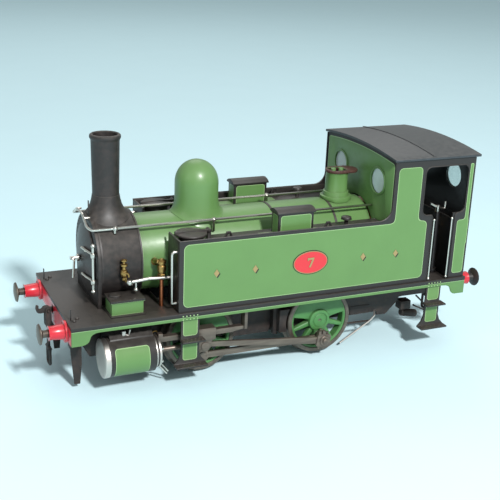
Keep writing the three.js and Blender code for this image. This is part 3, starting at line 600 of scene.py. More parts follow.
@dataclass(frozen=True)
class Finish:
    """A surface finish: its colours, how it was made, how it has worn, and the shade painted into its corners.
    """

    name: str
    base: str
    slot: str
    other: str = ""
    metallic: float = 0.0
    roughness: float = 0.45
    roughness_spread: float = 0.12
    patch_mm: float = 14.0
    grain_mm: float = 0.35
    grain_bump: float = 0.03
    stretch: Point = (1.0, 1.0, 1.0)
    mottle: float = 0.3
    # The colour and strength of the shade painted into corners and hollows.
    grime: str = "1c1512"
    grime_share: float = 0.5
    dust: str = "a39a8c"
    dust_share: float = 0.12
    coat: float = 0.0
    panels: tuple[Panel, ...] = ()
    panel_colour: str = ""
    line_colour: str = ""
    line_mm: float = 0.3

    def surface(self) -> Surface:
        """The finish as a material, made once.

        Returns:
            The material.
        """
        known = bpy.data.materials.get(self.name)
        if known:
            return known
        material = empty_material(self.name)
        tree = material.node_tree
        spot = add(tree, "TexCoord", out="Object")
        place = add(tree, "VectorMath", {0: spot, 3: 1 / MM}, operation="SCALE")
        grainy = add(tree, "VectorMath", {0: place, 1: self.stretch}, operation="MULTIPLY")
        patch = add(tree, "TexNoise", {"Vector": place, "Scale": 1 / self.patch_mm, "Detail": 4.0})
        cloud = add(tree, "TexNoise", {"Vector": grainy, "Scale": 5 / self.patch_mm, "Detail": 5.0})
        grain = add(tree, "TexNoise", {"Vector": grainy, "Scale": 1 / self.grain_mm, "Detail": 2.0})
        worn = self.worn(tree, self.varied(tree, self.painted(tree, place), patch, cloud), cloud)
        spread = add(tree, "Math", {0: cloud, 1: 2 * self.roughness_spread,
                                    2: self.roughness - self.roughness_spread},
                     operation="MULTIPLY_ADD")
        rough = add(tree, "Math", {0: grain, 1: GRAIN_IN_GLOSS, 2: spread}, operation="MULTIPLY_ADD",
                    use_clamp=True)
        bump = add(tree, "Bump", {"Strength": GRAIN_RELIEF, "Distance": self.grain_bump * MM,
                                  "Height": grain})
        shader = add(tree, "BsdfPrincipled", {
            "Base Color": worn, "Roughness": rough, "Metallic": self.metallic, "Normal": bump,
            "Coat Weight": self.coat, "Coat Roughness": COAT_ROUGHNESS})
        add(tree, "OutputMaterial", {0: shader})
        return material

    def painted(self, tree: Tree, place: Any) -> Any:
        """The ground colour with its lined panels.

        Args:
            tree: The material's tree.
            place: The place in millimetres.

        Returns:
            An output, or a plain colour where there are no panels.
        """
        if not self.panels:
            return colour(self.base)
        parts = add(tree, "SeparateXYZ", {0: place}).node.outputs
        side = add(tree, "Math", {0: parts[1]}, operation="ABSOLUTE")
        folded = add(tree, "CombineXYZ", {0: parts[0], 1: side, 2: parts[2]})
        nearest = self.panels[0].distance(tree, folded)
        for panel in self.panels[1:]:
            away = panel.distance(tree, folded)
            how = "SMOOTH_MIN" if panel.soft else "MINIMUM"
            nearest = add(tree, "Math", {0: nearest, 1: away, 2: panel.soft}, operation=how)
        inside = add(tree, "Math", {0: nearest, 1: 0.0}, operation="LESS_THAN")
        within = add(tree, "Math", {0: nearest}, operation="ABSOLUTE")
        line = add(tree, "Math", {0: within, 1: self.line_mm / 2}, operation="LESS_THAN")
        filled = add(tree, "Mix", {0: inside, 6: colour(self.base), 7: colour(self.panel_colour)}, 2,
                     data_type="RGBA")
        edge = colour(self.line_colour or self.panel_colour)
        return add(tree, "Mix", {0: line, 6: filled, 7: edge}, 2, data_type="RGBA")

    def varied(self, tree: Tree, shade: Any, patch: Any, cloud: Any) -> Any:
        """The colour with the slow and the quick changes of a hand-finished surface.

        Args:
            tree: The material's tree.
            shade: The ground colour.
            patch: The slow noise.
            cloud: The quick noise.

        Returns:
            The colour as an output.
        """
        slow = add(tree, "Math", {0: patch, 1: self.mottle, 2: 1.0 - self.mottle / 2},
                   operation="MULTIPLY_ADD")
        toned = add(tree, "Mix", {0: 1.0, 6: shade, 7: slow}, 2, data_type="RGBA", blend_type="MULTIPLY")
        if not self.other:
            return toned
        mask = add(tree, "MapRange", {0: cloud, 1: SECOND_FROM, 2: SECOND_FULL, 3: 0.0, 4: SECOND_SHARE})
        return add(tree, "Mix", {0: mask, 6: toned, 7: colour(self.other)}, 2, data_type="RGBA")

    def worn(self, tree: Tree, shade: Any, cloud: Any) -> Any:
        """The colour with painted shade in its corners and dust on what looks up.

        Args:
            tree: The material's tree.
            shade: The clean colour.
            cloud: The quick noise.

        Returns:
            The colour as an output.
        """
        # Painted shade: the colour moves towards the shade colour wherever ambient occlusion finds surfaces
        # close by.
        nearby = add(tree, "AmbientOcclusion", {"Distance": CORNER_REACH_MM * MM}, "AO", samples=6)
        hidden = add(tree, "Math", {0: 1.0, 1: nearby}, operation="SUBTRACT")
        corner_shade_amount = add(tree, "Math", {0: hidden, 1: self.grime_share}, operation="MULTIPLY", use_clamp=True)
        corner_shaded = add(tree, "Mix", {0: corner_shade_amount, 6: shade, 7: colour(self.grime)}, 2, data_type="RGBA")
        facing = add(tree, "SeparateXYZ", {0: add(tree, "NewGeometry", out="Normal")}, 2)
        upward = add(tree, "Math", {0: facing, 1: cloud}, operation="MULTIPLY", use_clamp=True)
        dusty = add(tree, "Math", {0: upward, 1: self.dust_share}, operation="MULTIPLY", use_clamp=True)
        return add(tree, "Mix", {0: dusty, 6: corner_shaded, 7: colour(self.dust)}, 2, data_type="RGBA")


def in_part(panel: Panel) -> Panel:
    """A panel given in drawing millimetres, moved to the part's frame."""
    return replace(panel, lo=tuple(Vector(panel.lo) + SHIFT), hi=tuple(Vector(panel.hi) + SHIFT))


def lined(name: str, slot: str, *panels: Panel, base: str = BLACK, line_mm: float = 0.3) -> Finish:
    """Black satin paint with green panels edged by a pale line.

    Args:
        name: The finish's name.
        slot: The material slot of the part's record.
        panels: Its panels in drawing millimetres.
        base: The colour round the panels.
        line_mm: The pale line's width.

    Returns:
        The finish.
    """
    return Finish(name, base, slot, panels=tuple(in_part(p) for p in panels), panel_colour=GREEN,
                  line_colour=LINE,
                  line_mm=line_mm, roughness=0.42, mottle=0.16, grime_share=0.45)


class Paints:
    """Every finish of the engine."""

    # Satin enamel sprayed over brass sheet: even colour, soft gloss, faint orange peel.
    green = Finish("sprayed_green_enamel", GREEN, "green_enamel", mottle=0.14, roughness=0.38, coat=0.15,
                   grime_share=0.4)
    # The same enamel brushed into a wheel centre: uneven, with strong painted shade in its corners.
    wheel_green = Finish("brushed_green_wheel_enamel", "467a42", "wheel_green", mottle=0.3, roughness=0.4,
                         grime_share=0.7)
    # Brown-black satin paint, dusty where it looks up.
    black = Finish("satin_black_paint", BLACK, "black_paint", other="332b29", mottle=0.3, roughness=0.46,
                   dust_share=0.16)
    # The door's paint, rubbed smoother than the rest and painted a lighter grey: a painted sheen standing in
    # for the broad gleam on the dish.
    door = Finish("rubbed_door_paint", "2e2928", "black_paint", other="3b3433", mottle=0.2, roughness=0.36,
                  dust_share=0.1)
    # Roof paint: blue-grey, with a dull even sheen.
    grey_black = Finish("smoke_grey_roof_paint", "2f3337", "black_paint", other="3a3f44", mottle=0.22,
                        roughness=0.46,
                        dust_share=0.2)
    # Jet-black copy of the black paint for inside the cab: painted shade there, darker than the paint outside.
    deep_black = Finish("cab_inside_black_paint", "0b0b0d", "black_paint", mottle=0.3, roughness=0.36,
                        dust_share=0.04)
    # Gloss vermilion on beams and buffer stocks: wet highlights, and brown painted shade in the corners.
    red = Finish("gloss_vermilion_enamel", "c41f30", "red_paint", mottle=0.15, roughness=0.3, coat=0.25,
                 grime="4a1512", grime_share=0.45)
    # Turned and polished nickel silver: white highlights with faint turning marks.
    bright = Finish("turned_nickel_silver", "d5cfc6", "bright_steel", metallic=1.0, roughness=0.27,
                    roughness_spread=0.06, grain_mm=0.25, grime_share=0.3, mottle=0.12, dust_share=0.0)
    # Faced steel covers: broad warm-grey gleam, finely scratched.
    covers = Finish("turned_cylinder_steel", "cdc6bf", "bright_steel", metallic=1.0, roughness=0.38,
                    roughness_spread=0.06, grain_mm=0.3, grime_share=0.35, mottle=0.14, dust_share=0.0)
    # Milled steel rods gone brown with oil: streaks along their length, dull gleam.
    motion = Finish("oily_blackened_steel", "6b6058", "blackened_steel", other="84786c", metallic=0.7,
                    roughness=0.4, mottle=0.25, patch_mm=8.0, stretch=(0.12, 1.0, 1.0), grime_share=0.6,
                    dust="5b4a3c", dust_share=0.15)
    # Steel tyres and buffer faces: turned, then browned by handling.
    tyre = Finish("weathered_tyre_steel", "665d55", "blackened_steel", other="7a7066", metallic=0.75,
                  roughness=0.4, mottle=0.22, patch_mm=9.0, grime_share=0.5, dust_share=0.06)
    # Flat brown-black underframe paint with road dirt.
    under = Finish("grimy_underframe_paint", "231c1a", "blackened_steel", other="382d27", mottle=0.4,
                   roughness=0.58, dust="54463a", dust_share=0.3)
    # Cast brass fittings gone brown-gold.
    brass = Finish("cast_brass", "b08f58", "brass", metallic=1.0, roughness=0.32, other="8d6c3e", mottle=0.3,
                   patch_mm=4.0, grime_share=0.6, dust_share=0.0)
    # Drawn copper pipe, oxidised to a warm red-brown.
    copper = Finish("drawn_copper_pipe", "b9714d", "copper", metallic=1.0, roughness=0.34, other="95583f",
                    mottle=0.25, patch_mm=6.0, grime_share=0.4, dust_share=0.0)
    # The safety valve casing's heat-browned lip.
    browned = Finish("heat_browned_rim", "4a2f2a", "copper", other="5d3f35", metallic=0.3, roughness=0.42,
                     mottle=0.3, patch_mm=5.0, dust_share=0.0)
    # Thin gilt and black transfer films on the enamel.
    gilt = Finish("gilt_transfer", "a08a5e", "gilt", roughness=0.42, metallic=0.35, mottle=0.2,
                  dust_share=0.0)
    ink = Finish("black_transfer", "1b1613", "black_paint", roughness=0.45, mottle=0.2, dust_share=0.0)
    # Red field of the oval plate, flatter than the beams.
    plate_red = Finish("oval_plate_red", "c62f36", "red_paint", roughness=0.42, mottle=0.1, dust_share=0.0)
    # Pale hairline drawn round bands and panels.
    edge = Finish("pale_edge_paint", LINE, "green_enamel", roughness=0.45, mottle=0.2, dust_share=0.0)


@dataclass(frozen=True)
class Glass:
    """Sheet glass: partly what is behind it, partly a pale colour painted in as its reflection."""

    name: str = "clear_window_glass"
    film: float = 0.1
    slot: str = "window_glass"
    tint: str = "e4efec"
    roughness: float = 0.12

    def surface(self) -> Surface:
        """The glass as a material, made once."""
        known = bpy.data.materials.get(self.name)
        if known:
            return known
        material = empty_material(self.name)
        tree = material.node_tree
        spot = add(tree, "TexCoord", out="Object")
        smear = add(tree, "TexNoise", {"Vector": spot, "Scale": 260.0, "Detail": 3.0})
        rough = add(tree, "Math", {0: smear, 1: 0.12, 2: self.roughness - 0.06}, operation="MULTIPLY_ADD")
        # Painted reflection: a pale colour, smeared by the noise, stands in for what the glass reflects.
        tone = add(tree, "Mix", {0: smear, 6: colour(self.tint), 7: colour("cfdcda")}, 2, data_type="RGBA")
        shader = add(tree, "BsdfPrincipled", {
            "Base Color": tone, "Roughness": rough, "Transmission Weight": 1.0 - self.film, "IOR": 1.45})
        add(tree, "OutputMaterial", {0: shader})
        return material


# ---------------------------------------------------------------- finished pieces


def dressed(thing: Thing, finish: Finish | Glass, body: str = "chassis", *stands_for: str,
            angle: float = 35.0,
            drawn: bool = True) -> Thing:
    """Shades a piece, paints it, puts it in the part's frame and hangs it on its body.

    Args:
        thing: The piece.
        finish: Its finish.
        body: The body that it moves with.
        stands_for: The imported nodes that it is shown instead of.
        angle: Edges sharper than this many degrees stay sharp.
        drawn: True if it is in drawing millimetres, False if it is in metres already.

    Returns:
        The same object.
    """
    if drawn:
        thing.scale = (MM, MM, MM)
        thing.location = SHIFT * MM
        settle(thing)
    only(thing)
    bpy.ops.object.shade_smooth_by_angle(angle=math.radians(angle))
    thing.data.materials.clear()
    thing.data.materials.append(finish.surface())
    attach(thing, body)
    if stands_for:
        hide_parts(*stands_for)
    LOG.info("%s: %d faces, on %s", thing.name, len(thing.data.polygons), body)
    return thing


def paired(thing: Thing, name: str, finish: Finish | Glass, replaces: str = "") -> None:
    """Makes a left piece and its mirrored right one from one model.

    Args:
        thing: The left piece in drawing millimetres, used up.
        name: The pieces' name, without the side.
        finish: Their finish.
        replaces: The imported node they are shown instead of, without the side.
    """
    for hand in Hand:
        nodes = [f"{replaces}_{hand.word}"] if replaces else []
        dressed(copied(thing, f"{name}_{hand.word}", scale=hand.flip), finish, "chassis", *nodes)
    bpy.data.objects.remove(thing)


def refined(node: str, finish: Finish, edge: float, angle: float = 32.0) -> Thing:
    """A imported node's own shape with merged facets, rounded edges and smooth curves.

    Args:
        node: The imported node.
        finish: Its finish.
        edge: The width of the rounding on its edges in millimetres.
        angle: Edges sharper than this many degrees are rounded.

    Returns:
        The piece that is shown for it.
    """
    source = frame["nodes"][node]
    thing = bpy.data.objects.new(node + "_finished", source.data.copy())
    bpy.context.scene.collection.objects.link(thing)
    rename(thing, node + "_finished")
    with editing(thing):
        bpy.ops.mesh.remove_doubles(threshold=2e-6)
        bpy.ops.mesh.dissolve_limited(angle_limit=math.radians(0.4))
    soften(thing, edge * MM, angle=angle)
    return dressed(thing, finish, source["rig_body"], node, angle=angle, drawn=False)


STEP_PANELS = lined(
    "lined_step_paint", "black_paint",
    Panel((-49.2, 37, 27.0), (-41.8, 60, 36.9), 1.3), Panel((-49.2, 37, 13.6), (-41.8, 60, 23.2), 1.3),
    Panel((96.5, 37, 27.8), (103.7, 60, 36.9), 1.3), Panel((96.5, 37, 14.4), (103.7, 60, 24.0), 1.3))
CYLINDER_PANEL = lined("lined_cylinder_wrapper", "green_enamel", Panel((-84.9, 33, 9.0), (-67.6, 60, 25.2),
                                                                       1.4))
VALANCE_PANEL = lined("footplate_paint", "black_paint", Panel((-200, 38.9, 20), (200, 60, 37.3), 0.2),
                      line_mm=0.25)
TANK_PANELS = lined("tank_body_paint", "green_enamel", Panel((4.9, 15, 60), (22.1, 60, 83.8), 1.2),
                    Panel((-5, 26.5, 60), (30, 32.3, 83.8), 1.2))
# The cab's ground round its panels is near-black, darker than the black paint elsewhere: painted shade for the
# inside of the cab, which also darkens the front sheet's border.
CAB_PANELS = lined("cab_paint", "green_enamel", Panel((60, -2, 40), (69.2, 36.9, 110.2), 2.0, sag=2.6),
                   Panel((118.9, -2, 42.2), (125, 36.5, 107.0), 2.4), base="0f0e10")
SANDBOX_PANEL = lined("sandbox_paint", "green_enamel", Panel((-100, 0, 40.4), (-60, 60, 46.7), 0.2),
                      line_mm=0.2)
SHEET_PANELS = lined(
    "lined_side_sheet_paint", "green_enamel",
    Panel((-49.3, 30, 42.4), (90.9, 60, 75.3), 2.7),
    Panel((70.6, 30, 60.0), (85.1, 60, 105.6), 2.2, soft=5.0),
    Panel((111.2, 30, 42.4), (118.0, 60, 73.6), 1.5), Panel((116.2, 30, 60.0), (118.0, 60, 105.6), 0.8,
                                                            soft=3.0))


@dataclass
class Groundwork:
    """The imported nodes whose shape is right: their edges rounded and their paint on."""

    edge: float = 0.15

    def build(self) -> None:
        """Finishes each of them."""
        for finish, nodes in self.plan():
            for node in nodes.split():
                for name in [node.replace("*", hand.word) for hand in Hand] if "*" in node else [node]:
                    refined(name, finish, self.edge)

    def plan(self) -> list[tuple[Finish, str]]:
        """The finishes, each with its nodes; * stands for left and right."""
        return [
            (Paints.under, "frame_plate_* frame_stretcher draw_hook_front draw_hook_rear brake_gear"
                           " screw_coupling_front screw_coupling_rear"),
            (STEP_PANELS, "front_step_* rear_step_*"), (CYLINDER_PANEL, "cylinder_*"),
            (TANK_PANELS, "side_tank_*"),
            (SANDBOX_PANEL, "sandbox_*"), (VALANCE_PANEL, "footplate"), (CAB_PANELS, "cab"),
            (Paints.motion,
             "slide_bar_* crosshead_* coupling_rod_* connecting_rod_* leading_axle driving_axle"),
            (Paints.black, "filler_lid_* buffer_head_rear_* smokebox"), (Paints.tyre, "buffer_head_front_*"),
            (Paints.red, "front_buffer_beam rear_buffer_beam"), (Paints.green,
                                                                 "boiler_cladding safety_valve_cover"),
            (Paints.copper, "boiler_shell"), (Paints.brass, "gas_burner gas_tank"),
            (Paints.grey_black, "cab_roof"),
            (Paints.deep_black, "handbrake_column"),
            (Paints.bright,
             "boiler_handrail smokebox_dart handbrake_handle regulator_handle reversing_lever")]


@dataclass
class Wheels:
    """The four spoked wheels: cast centres, steel tyres and crankpins."""

    wheelbase: float = 70.0
    web_back: float = -26.6
    spokes: int = 10
    hub: float = 6.4
    counterweight_half_angle: float = 79.0
    rim: Flat = (15.2, 16.5)
    back: float = -20.0
    face: float = -26.2
    hub_face: float = -27.0

    def build(self) -> None:
        """Makes one centre and one tyre, and copies them to the four axle ends."""
        centre, tyre = self.centre(), self.tyre()
        pins = {"leading": self.leading_pin(), "driving": self.driving_pin()}
        for end, name in ((-1, "leading"), (1, "driving")):
            for hand in Hand:
                # The left crank points straight down and the right one straight back.
                turn = (0.0, math.pi / 2 if hand is Hand.LEFT else 0.0, 0.0)
                place = (end * self.wheelbase / 2, 0.0, TREAD_RADIUS)
                wheel, body = f"{name}_wheel_{hand.word}", f"{name}_wheelset"
                for model, part, finish, nodes in (
                        (centre, "centre", Paints.wheel_green, (wheel,)), (tyre, "tyre", Paints.tyre, ()),
                        (pins[name], "crankpin", Paints.motion, ())):
                    dressed(copied(model, f"{wheel}_{part}", place, turn, hand.flip), finish, body, *nodes)
        for model in (centre, tyre, *pins.values()):
            bpy.data.objects.remove(model)

    def centre(self) -> Thing:
        """The cast centre with its crank along +X: rim, spokes, hub, crank boss and balance weight."""
        inner, outer = self.rim
        ring = turned("centre", [(inner, self.back - 0.3), (inner + 0.3, self.back), (outer, self.back),
                                 (outer, self.face + 0.5), (inner + 0.5, self.face + 0.7),
                                 (inner, self.face + 1.3), (inner, self.back - 0.3)], Axis.Y, (0, 0, 0), 64)
        face, r = self.hub_face, self.hub
        hub = turned("hub", [(0, self.back), (r, self.back), (r, face + 1.0), (r - 0.4, face + 0.25),
                             (r - 1.0, face),
                             (4.6, face), (4.3, face + 0.4), (3.7, face + 0.4), (3.4, face + 0.1),
                             (1.1, face + 0.1),
                             (0.8, face + 0.6), (0, face + 0.6)], Axis.Y, (0, 0, 0), 40)
        first = self.spoke()
        arms = [copied(first, "arm", turn=(0, math.tau * i / self.spokes, 0)) for i in range(self.spokes)]
        bpy.data.objects.remove(first)
        boss = turned("boss", [(0, self.back - 1), (3.4, self.back - 1), (3.4, self.hub_face + 0.4),
                               (3.0, self.hub_face), (0, self.hub_face)], Axis.Y, (CRANK_THROW, 0, 0), 32)
        web = block("web", (0, self.hub_face + 0.3, -2.9), (CRANK_THROW, self.back - 1.5, 2.9), 0.4)
        return joined("centre", ring, hub, *arms, boss, web, self.weight())

    def spoke(self) -> Thing:
        """One spoke, thicker at the hub."""
        arm = block("arm", (5.2, -25.2, -1.05), (15.9, -22.2, 1.05))
        with editing(arm, all_on=False):
            pick(arm, [i for i, vertex in enumerate(arm.data.vertices) if vertex.co.x < 6])
            bpy.ops.transform.resize(value=(1, 1.2, 1.45), center_override=(5.2, -23.7, 0))
        return soften(arm, 0.7, 3)

    def weight(self) -> Thing:
        """The crescent that balances the rods, opposite the crank."""
        half = math.radians(self.counterweight_half_angle)
        turns = [math.pi - half + 2 * half * i / 28 for i in range(29)]
        outline = [(15.8 * math.cos(t), 15.8 * math.sin(t)) for t in turns] + [(-0.8, -4.0), (-0.8, 4.0)]
        return soften(plate("weight", outline, Axis.Y, -25.7, -22.6), 0.35)

    def tyre(self) -> Thing:
        """The steel tyre: outer face, chamfer, coned tread and flange."""
        outer = self.rim[1]
        profile = [(outer + 0.05, self.back), (outer + 0.05, self.face + 0.3), (outer + 0.3, self.face),
                   (18.4, self.face), (18.95, self.face + 0.5), (TREAD_RADIUS, self.back - 2.2),
                   (19.5, self.back - 1.5), (20.3, self.back - 0.9), (20.55, self.back - 0.5),
                   (20.3, self.back),
                   (outer + 0.05, self.back)]
        return turned("tyre", profile, Axis.Y, (0, 0, 0), 96)

    def leading_pin(self) -> Thing:
        """The leading crankpin with its thin nut."""
        pin = turned("pin", [(0, self.web_back), (1.5, self.web_back), (1.5, -29.9), (0, -29.9)], Axis.Y,
                     (CRANK_THROW, 0, 0), 24)
        nut = turned("nut", [(0, -29.65), (2.5, -29.65), (2.5, -30.0), (2.3, -30.2), (0, -30.2)], Axis.Y,
                     (CRANK_THROW, 0, 0), 6)
        return joined("pin", pin, nut)

    def driving_pin(self) -> Thing:
        """The driving crankpin."""
        return turned("pin", [(0, self.web_back), (1.8, self.web_back), (1.8, -31.0), (1.5, -31.3),
                              (0, -31.3)], Axis.Y,
                      (CRANK_THROW, 0, 0), 24)


@dataclass
class SideSheets:
    """The tank and cab side sheets, each one smooth sheet with its lined panels, beading, plate and marks."""

    face: float = 38.12
    thick: float = 0.28
    rim: float = 77.3
    eave: float = 109.0
    front: float = -51.8
    cab_front: float = 68.4
    rear: float = 119.3
    sweep: float = 7.5
    plate_x: float = 20.7
    plate_z: float = 58.9

    def build(self) -> None:
        """Makes the left sheet and its marks, and mirrors them."""
        for hand in Hand:
            for model, name, finish in self.models():
                # The figure is turned round, not mirrored, so that it reads from the right too.
                if hand is Hand.RIGHT and name == "number_plate_figure":
                    piece = copied(model, f"{name}_right", (2 * self.plate_x, 0, 0), (0, 0, math.pi))
                else:
                    piece = copied(model, f"{name}_{hand.word}", scale=hand.flip)
                dressed(piece, finish)
                bpy.data.objects.remove(model)

    def models(self) -> Iterator[tuple[Thing, str, Finish]]:
        """The left side's pieces with their names and finishes."""
        yield self.sheet(), "side_sheet", SHEET_PANELS
        yield self.beading(), "side_sheet_beading", Paints.black
        yield from self.oval_plate()
        yield from self.marks()

    def outline(self) -> list[Flat]:
        """The sheet's outline: tank top, sweep up to the cab, and the eave."""
        r = self.sweep
        sweep = arc(self.cab_front - r, self.rim + r, r, -90, 0, 8)
        return [(self.front, 39.7), (self.rear, 39.7), (self.rear, self.eave), (self.cab_front, self.eave),
                *reversed(sweep), (self.front, self.rim)]

    def opening(self) -> list[Flat]:
        """The cab's opening and doorway as one outline, with round corners."""
        lower_a, lower_b, upper_a, upper_b = 94.5, 109.3, 87.3, 115.3
        sill, top, r = 78.1, 105.3, 3.6
        return [(lower_a, 30.0), (lower_b, 30.0),
                *arc(lower_b + 2.2, sill - 2.2, 2.2, 180, 90), *arc(upper_b - r, sill + r, r, -90, 0),
                *arc(upper_b - r, top - r, r, 0, 90), *arc(upper_a + r, top - r, r, 90, 180),
                *arc(upper_a + r, sill + r, r, 180, 270), *arc(lower_a - 2.2, sill - 2.2, 2.2, 90, 0)]

    def sheet(self) -> Thing:
        """The sheet itself, cut out for the cab's opening."""
        near, far = -self.face, -self.face - self.thick
        body = plate("sheet", self.outline(), Axis.Y, near, far)
        return cut_away(body, plate("hole", self.opening(), Axis.Y, near + 2, far - 2))

    def beading(self) -> Thing:
        """Half-round beading along the tank's top edge, the sweep and the cab's opening."""
        y = -self.face - self.thick + 0.1
        top = [(a, y, b) for a, b in self.outline()[3:]]
        rail = rod("top_bead", top, 0.42)
        gap = [(a, y, b) for a, b in self.opening()]
        door = [(gap[-1][0], y, 40.2) if i == len(gap) - 1 else p for i, p in enumerate(gap)]
        around = [(94.5, y, 40.2), *reversed(door[2:]), (109.3, y, 40.2)]
        return joined("beading", rail, rod("gap_bead", around, 0.36))

    def oval_plate(self) -> Iterator[tuple[Thing, str, Finish]]:
        """The red number plate: rim, line, field and a plain figure."""
        y = -self.face - self.thick
        x, z = self.plate_x, self.plate_z
        for half, tall, thick, name, finish in (
                (10.3, 6.6, 0.16, "rim", Paints.ink), (9.9, 6.2, 0.24, "line", Paints.gilt),
                (9.5, 5.8, 0.32, "field", Paints.plate_red)):
            yield plate("oval", oval(x, z, half, tall), Axis.Y, y, y - thick), f"number_plate_{name}", finish
        yield self.figure(y - 0.3), "number_plate_figure", Paints.gilt

    def figure(self, y: float) -> Thing:
        """A plain number seven, cut from flat plate."""
        x, z = self.plate_x, self.plate_z
        outline = [(-1.9, 2.6), (1.9, 2.6), (1.9, 1.9), (0.1, -2.6), (-1.0, -2.6), (0.7, 1.5), (-1.3, 1.5),
                   (-1.3, 1.0), (-1.9, 1.0)]
        return plate("seven", [(x + a, z + b) for a, b in outline], Axis.Y, y, y - 0.2)

    def marks(self) -> Iterator[tuple[Thing, str, Finish]]:
        """Four small gilt lozenges with dark shading, evenly spaced along the panel."""
        y = -self.face - self.thick
        spots = [(-32.0, 58.9), (-10.8, 58.8), (52.2, 58.6), (72.5, 58.4)]
        for push, thick, name, finish in ((0.55, 0.1, "lozenge_shade", Paints.ink),
                                          (0.0, 0.16, "lozenge", Paints.gilt)):
            shapes = []
            for x, z in spots:
                points = [(x + push - 1.5, z - push), (x + push, z - push - 2.1), (x + push + 1.5, z - push),
                          (x + push, z - push + 2.1)]
                shapes.append(plate("shape", points, Axis.Y, y, y - thick))
            yield joined(name, *shapes), name, finish


@dataclass
class CylinderFittings:
    """Both cylinders' polished end covers, drain pipes and cocks."""

    front: float = -90.15
    rear: float = -60.6

    def build(self) -> None:
        """Makes the left side's and mirrors them."""
        for model, name, finish in (
                (self.front_cover(), "front_cover", Paints.covers),
                (self.rear_cover(), "rear_cover", Paints.covers),
                (self.nuts(), "cover_nuts", Paints.bright), (self.drains(), "drain_pipes", Paints.bright),
                (self.cock(), "drain_cock", Paints.brass), (self.oil_cup(), "oil_cup", Paints.covers)):
            paired(model, f"cylinder_{name}", finish)

    def front_cover(self) -> Thing:
        """The front cover: a faced disc with a deep turned rim."""
        x = self.front
        profile = [(0, x + 0.1), (9.1, x), (9.8, x + 0.12), (10.12, x + 0.5), (10.12, x + 2.7),
                   (9.95, x + 2.9),
                   (9.4, x + 2.9), (9.4, x + 2.4), (0, x + 2.4)]
        return turned("front_cover", profile, Axis.X, (0, CYLINDER_Y, CYLINDER_Z), 72)

    def rear_cover(self) -> Thing:
        """The rear cover: a band, a thin flange and the gland round the piston rod."""
        x = self.rear
        profile = [(1.5, x - 4.0), (7.2, x - 4.0), (7.2, x - 5.4), (8.8, x - 5.4), (8.8, x - 2.4),
                   (8.5, x - 2.0), (7.8, x - 1.9), (7.8, x - 1.3),
                   (8.4, x - 1.2), (8.4, x - 0.3), (8.1, x), (3.4, x), (3.1, x + 1.4), (1.5, x + 1.5),
                   (1.5, x - 4.0)]
        return turned("rear_cover", profile, Axis.X, (0, CYLINDER_Y, CYLINDER_Z), 72)

    def nuts(self) -> Thing:
        """Six nuts round the rear flange."""
        first = turned("nut", [(0, 0), (0.95, 0), (0.95, 0.8), (0.5, 0.85), (0.45, 1.3), (0, 1.35)], Axis.X,
                       (0, 0, 0), 6)
        turns = [math.tau * (i + 0.5) / 6 for i in range(6)]
        places = [(self.rear - 0.1, CYLINDER_Y + 6.9 * math.cos(t),
                   CYLINDER_Z + 6.9 * math.sin(t)) for t in turns]
        return repeated(first, "nuts", places)

    def drains(self) -> Thing:
        """Two short drain pipes that slope down and back from the cylinder's underside."""
        return joined("drains", rod("near", [(-62.4, -32, 9.6), (-59.6, -32, 9.3), (-55.5, -32, 4.3)], 0.5,
                                    0.8),
                      rod("far", [(-61.4, -29.8, 9.6), (-58.0, -29.8, 9.4), (-54.1, -29.8, 4.4)], 0.5, 0.8))

    def cock(self) -> Thing:
        """The small cock over the rear cover, with its looped pipe."""
        body = turned("cock", [(0, 22.4), (0.7, 22.5), (0.7, 23.8), (0.4, 24), (0.4, 24.8), (0.9, 25.1),
                               (0.9, 26), (0, 26.4)],
                      Axis.Z, (-59.6, -30, 0), 14)
        loop = rod("loop", [(-62.9, -30, 25.0), (-62.6, -30, 27.8), (-60.6, -30, 28.2), (-59.8, -30, 25.6)],
                   0.42, 0.8)
        return joined("cock", body, loop)

    def oil_cup(self) -> Thing:
        """The little oil cup and pipe stub on top of the cylinder."""
        cup = block("cup", (-79.4, -33.2, 27.8), (-77.6, -31.4, 31.6), 0.25)
        stub = rod("stub", [(-77.8, -32.4, 29.6), (-76.0, -33.0, 29.2), (-75.4, -33.4, 32.4)], 0.55, 0.5)
        return joined("oil_cup", cup, stub)


@dataclass
class RodFittings:
    """Caps, bolts and oil cups on the connecting rods' big ends."""

    big_end: Flat = (35.0, 9.88)

    def build(self) -> None:
        """Puts one set on each connecting rod."""
        caps = self.caps()
        # At rest the right big end is a crank's throw behind the left one and a throw above it.
        for hand, ahead in ((Hand.LEFT, 0.0), (Hand.RIGHT, CRANK_THROW)):
            piece = copied(caps, f"connecting_rod_caps_{hand.word}", (ahead, 0, ahead), scale=hand.flip)
            dressed(piece, Paints.motion, f"connecting_rod_{hand.word}")
        bpy.data.objects.remove(caps)

    def caps(self) -> Thing:
        """The left big end's cap, its four bolts and its oil cup."""
        x, z = self.big_end
        cap = turned("cap", [(0, -33.6), (2.9, -33.6), (2.9, -34.3), (2.6, -34.6), (1.6, -34.6), (1.5, -35.3),
                             (1.2, -35.5), (0, -35.5)], Axis.Y, (x, 0, z), 32)
        bolts = [turned("bolt", [(0, d0), (0.6, d0), (0.6, d1), (0, d1)], Axis.Z, (x + dx, -32.6, z), 8)
                 for dx in (-2.9, 2.2) for d0, d1 in ((3.4, 4.7), (-4.7, -3.4))]
        cup = turned("cup", [(0, 3.4), (1.0, 3.4), (1.2, 4.6), (1.0, 5.6), (0.4, 5.8), (0.4, 6.4), (0, 6.5)],
                     Axis.Z,
                     (x - 0.3, -32.6, z), 14)
        return joined("caps", cap, *bolts, cup)


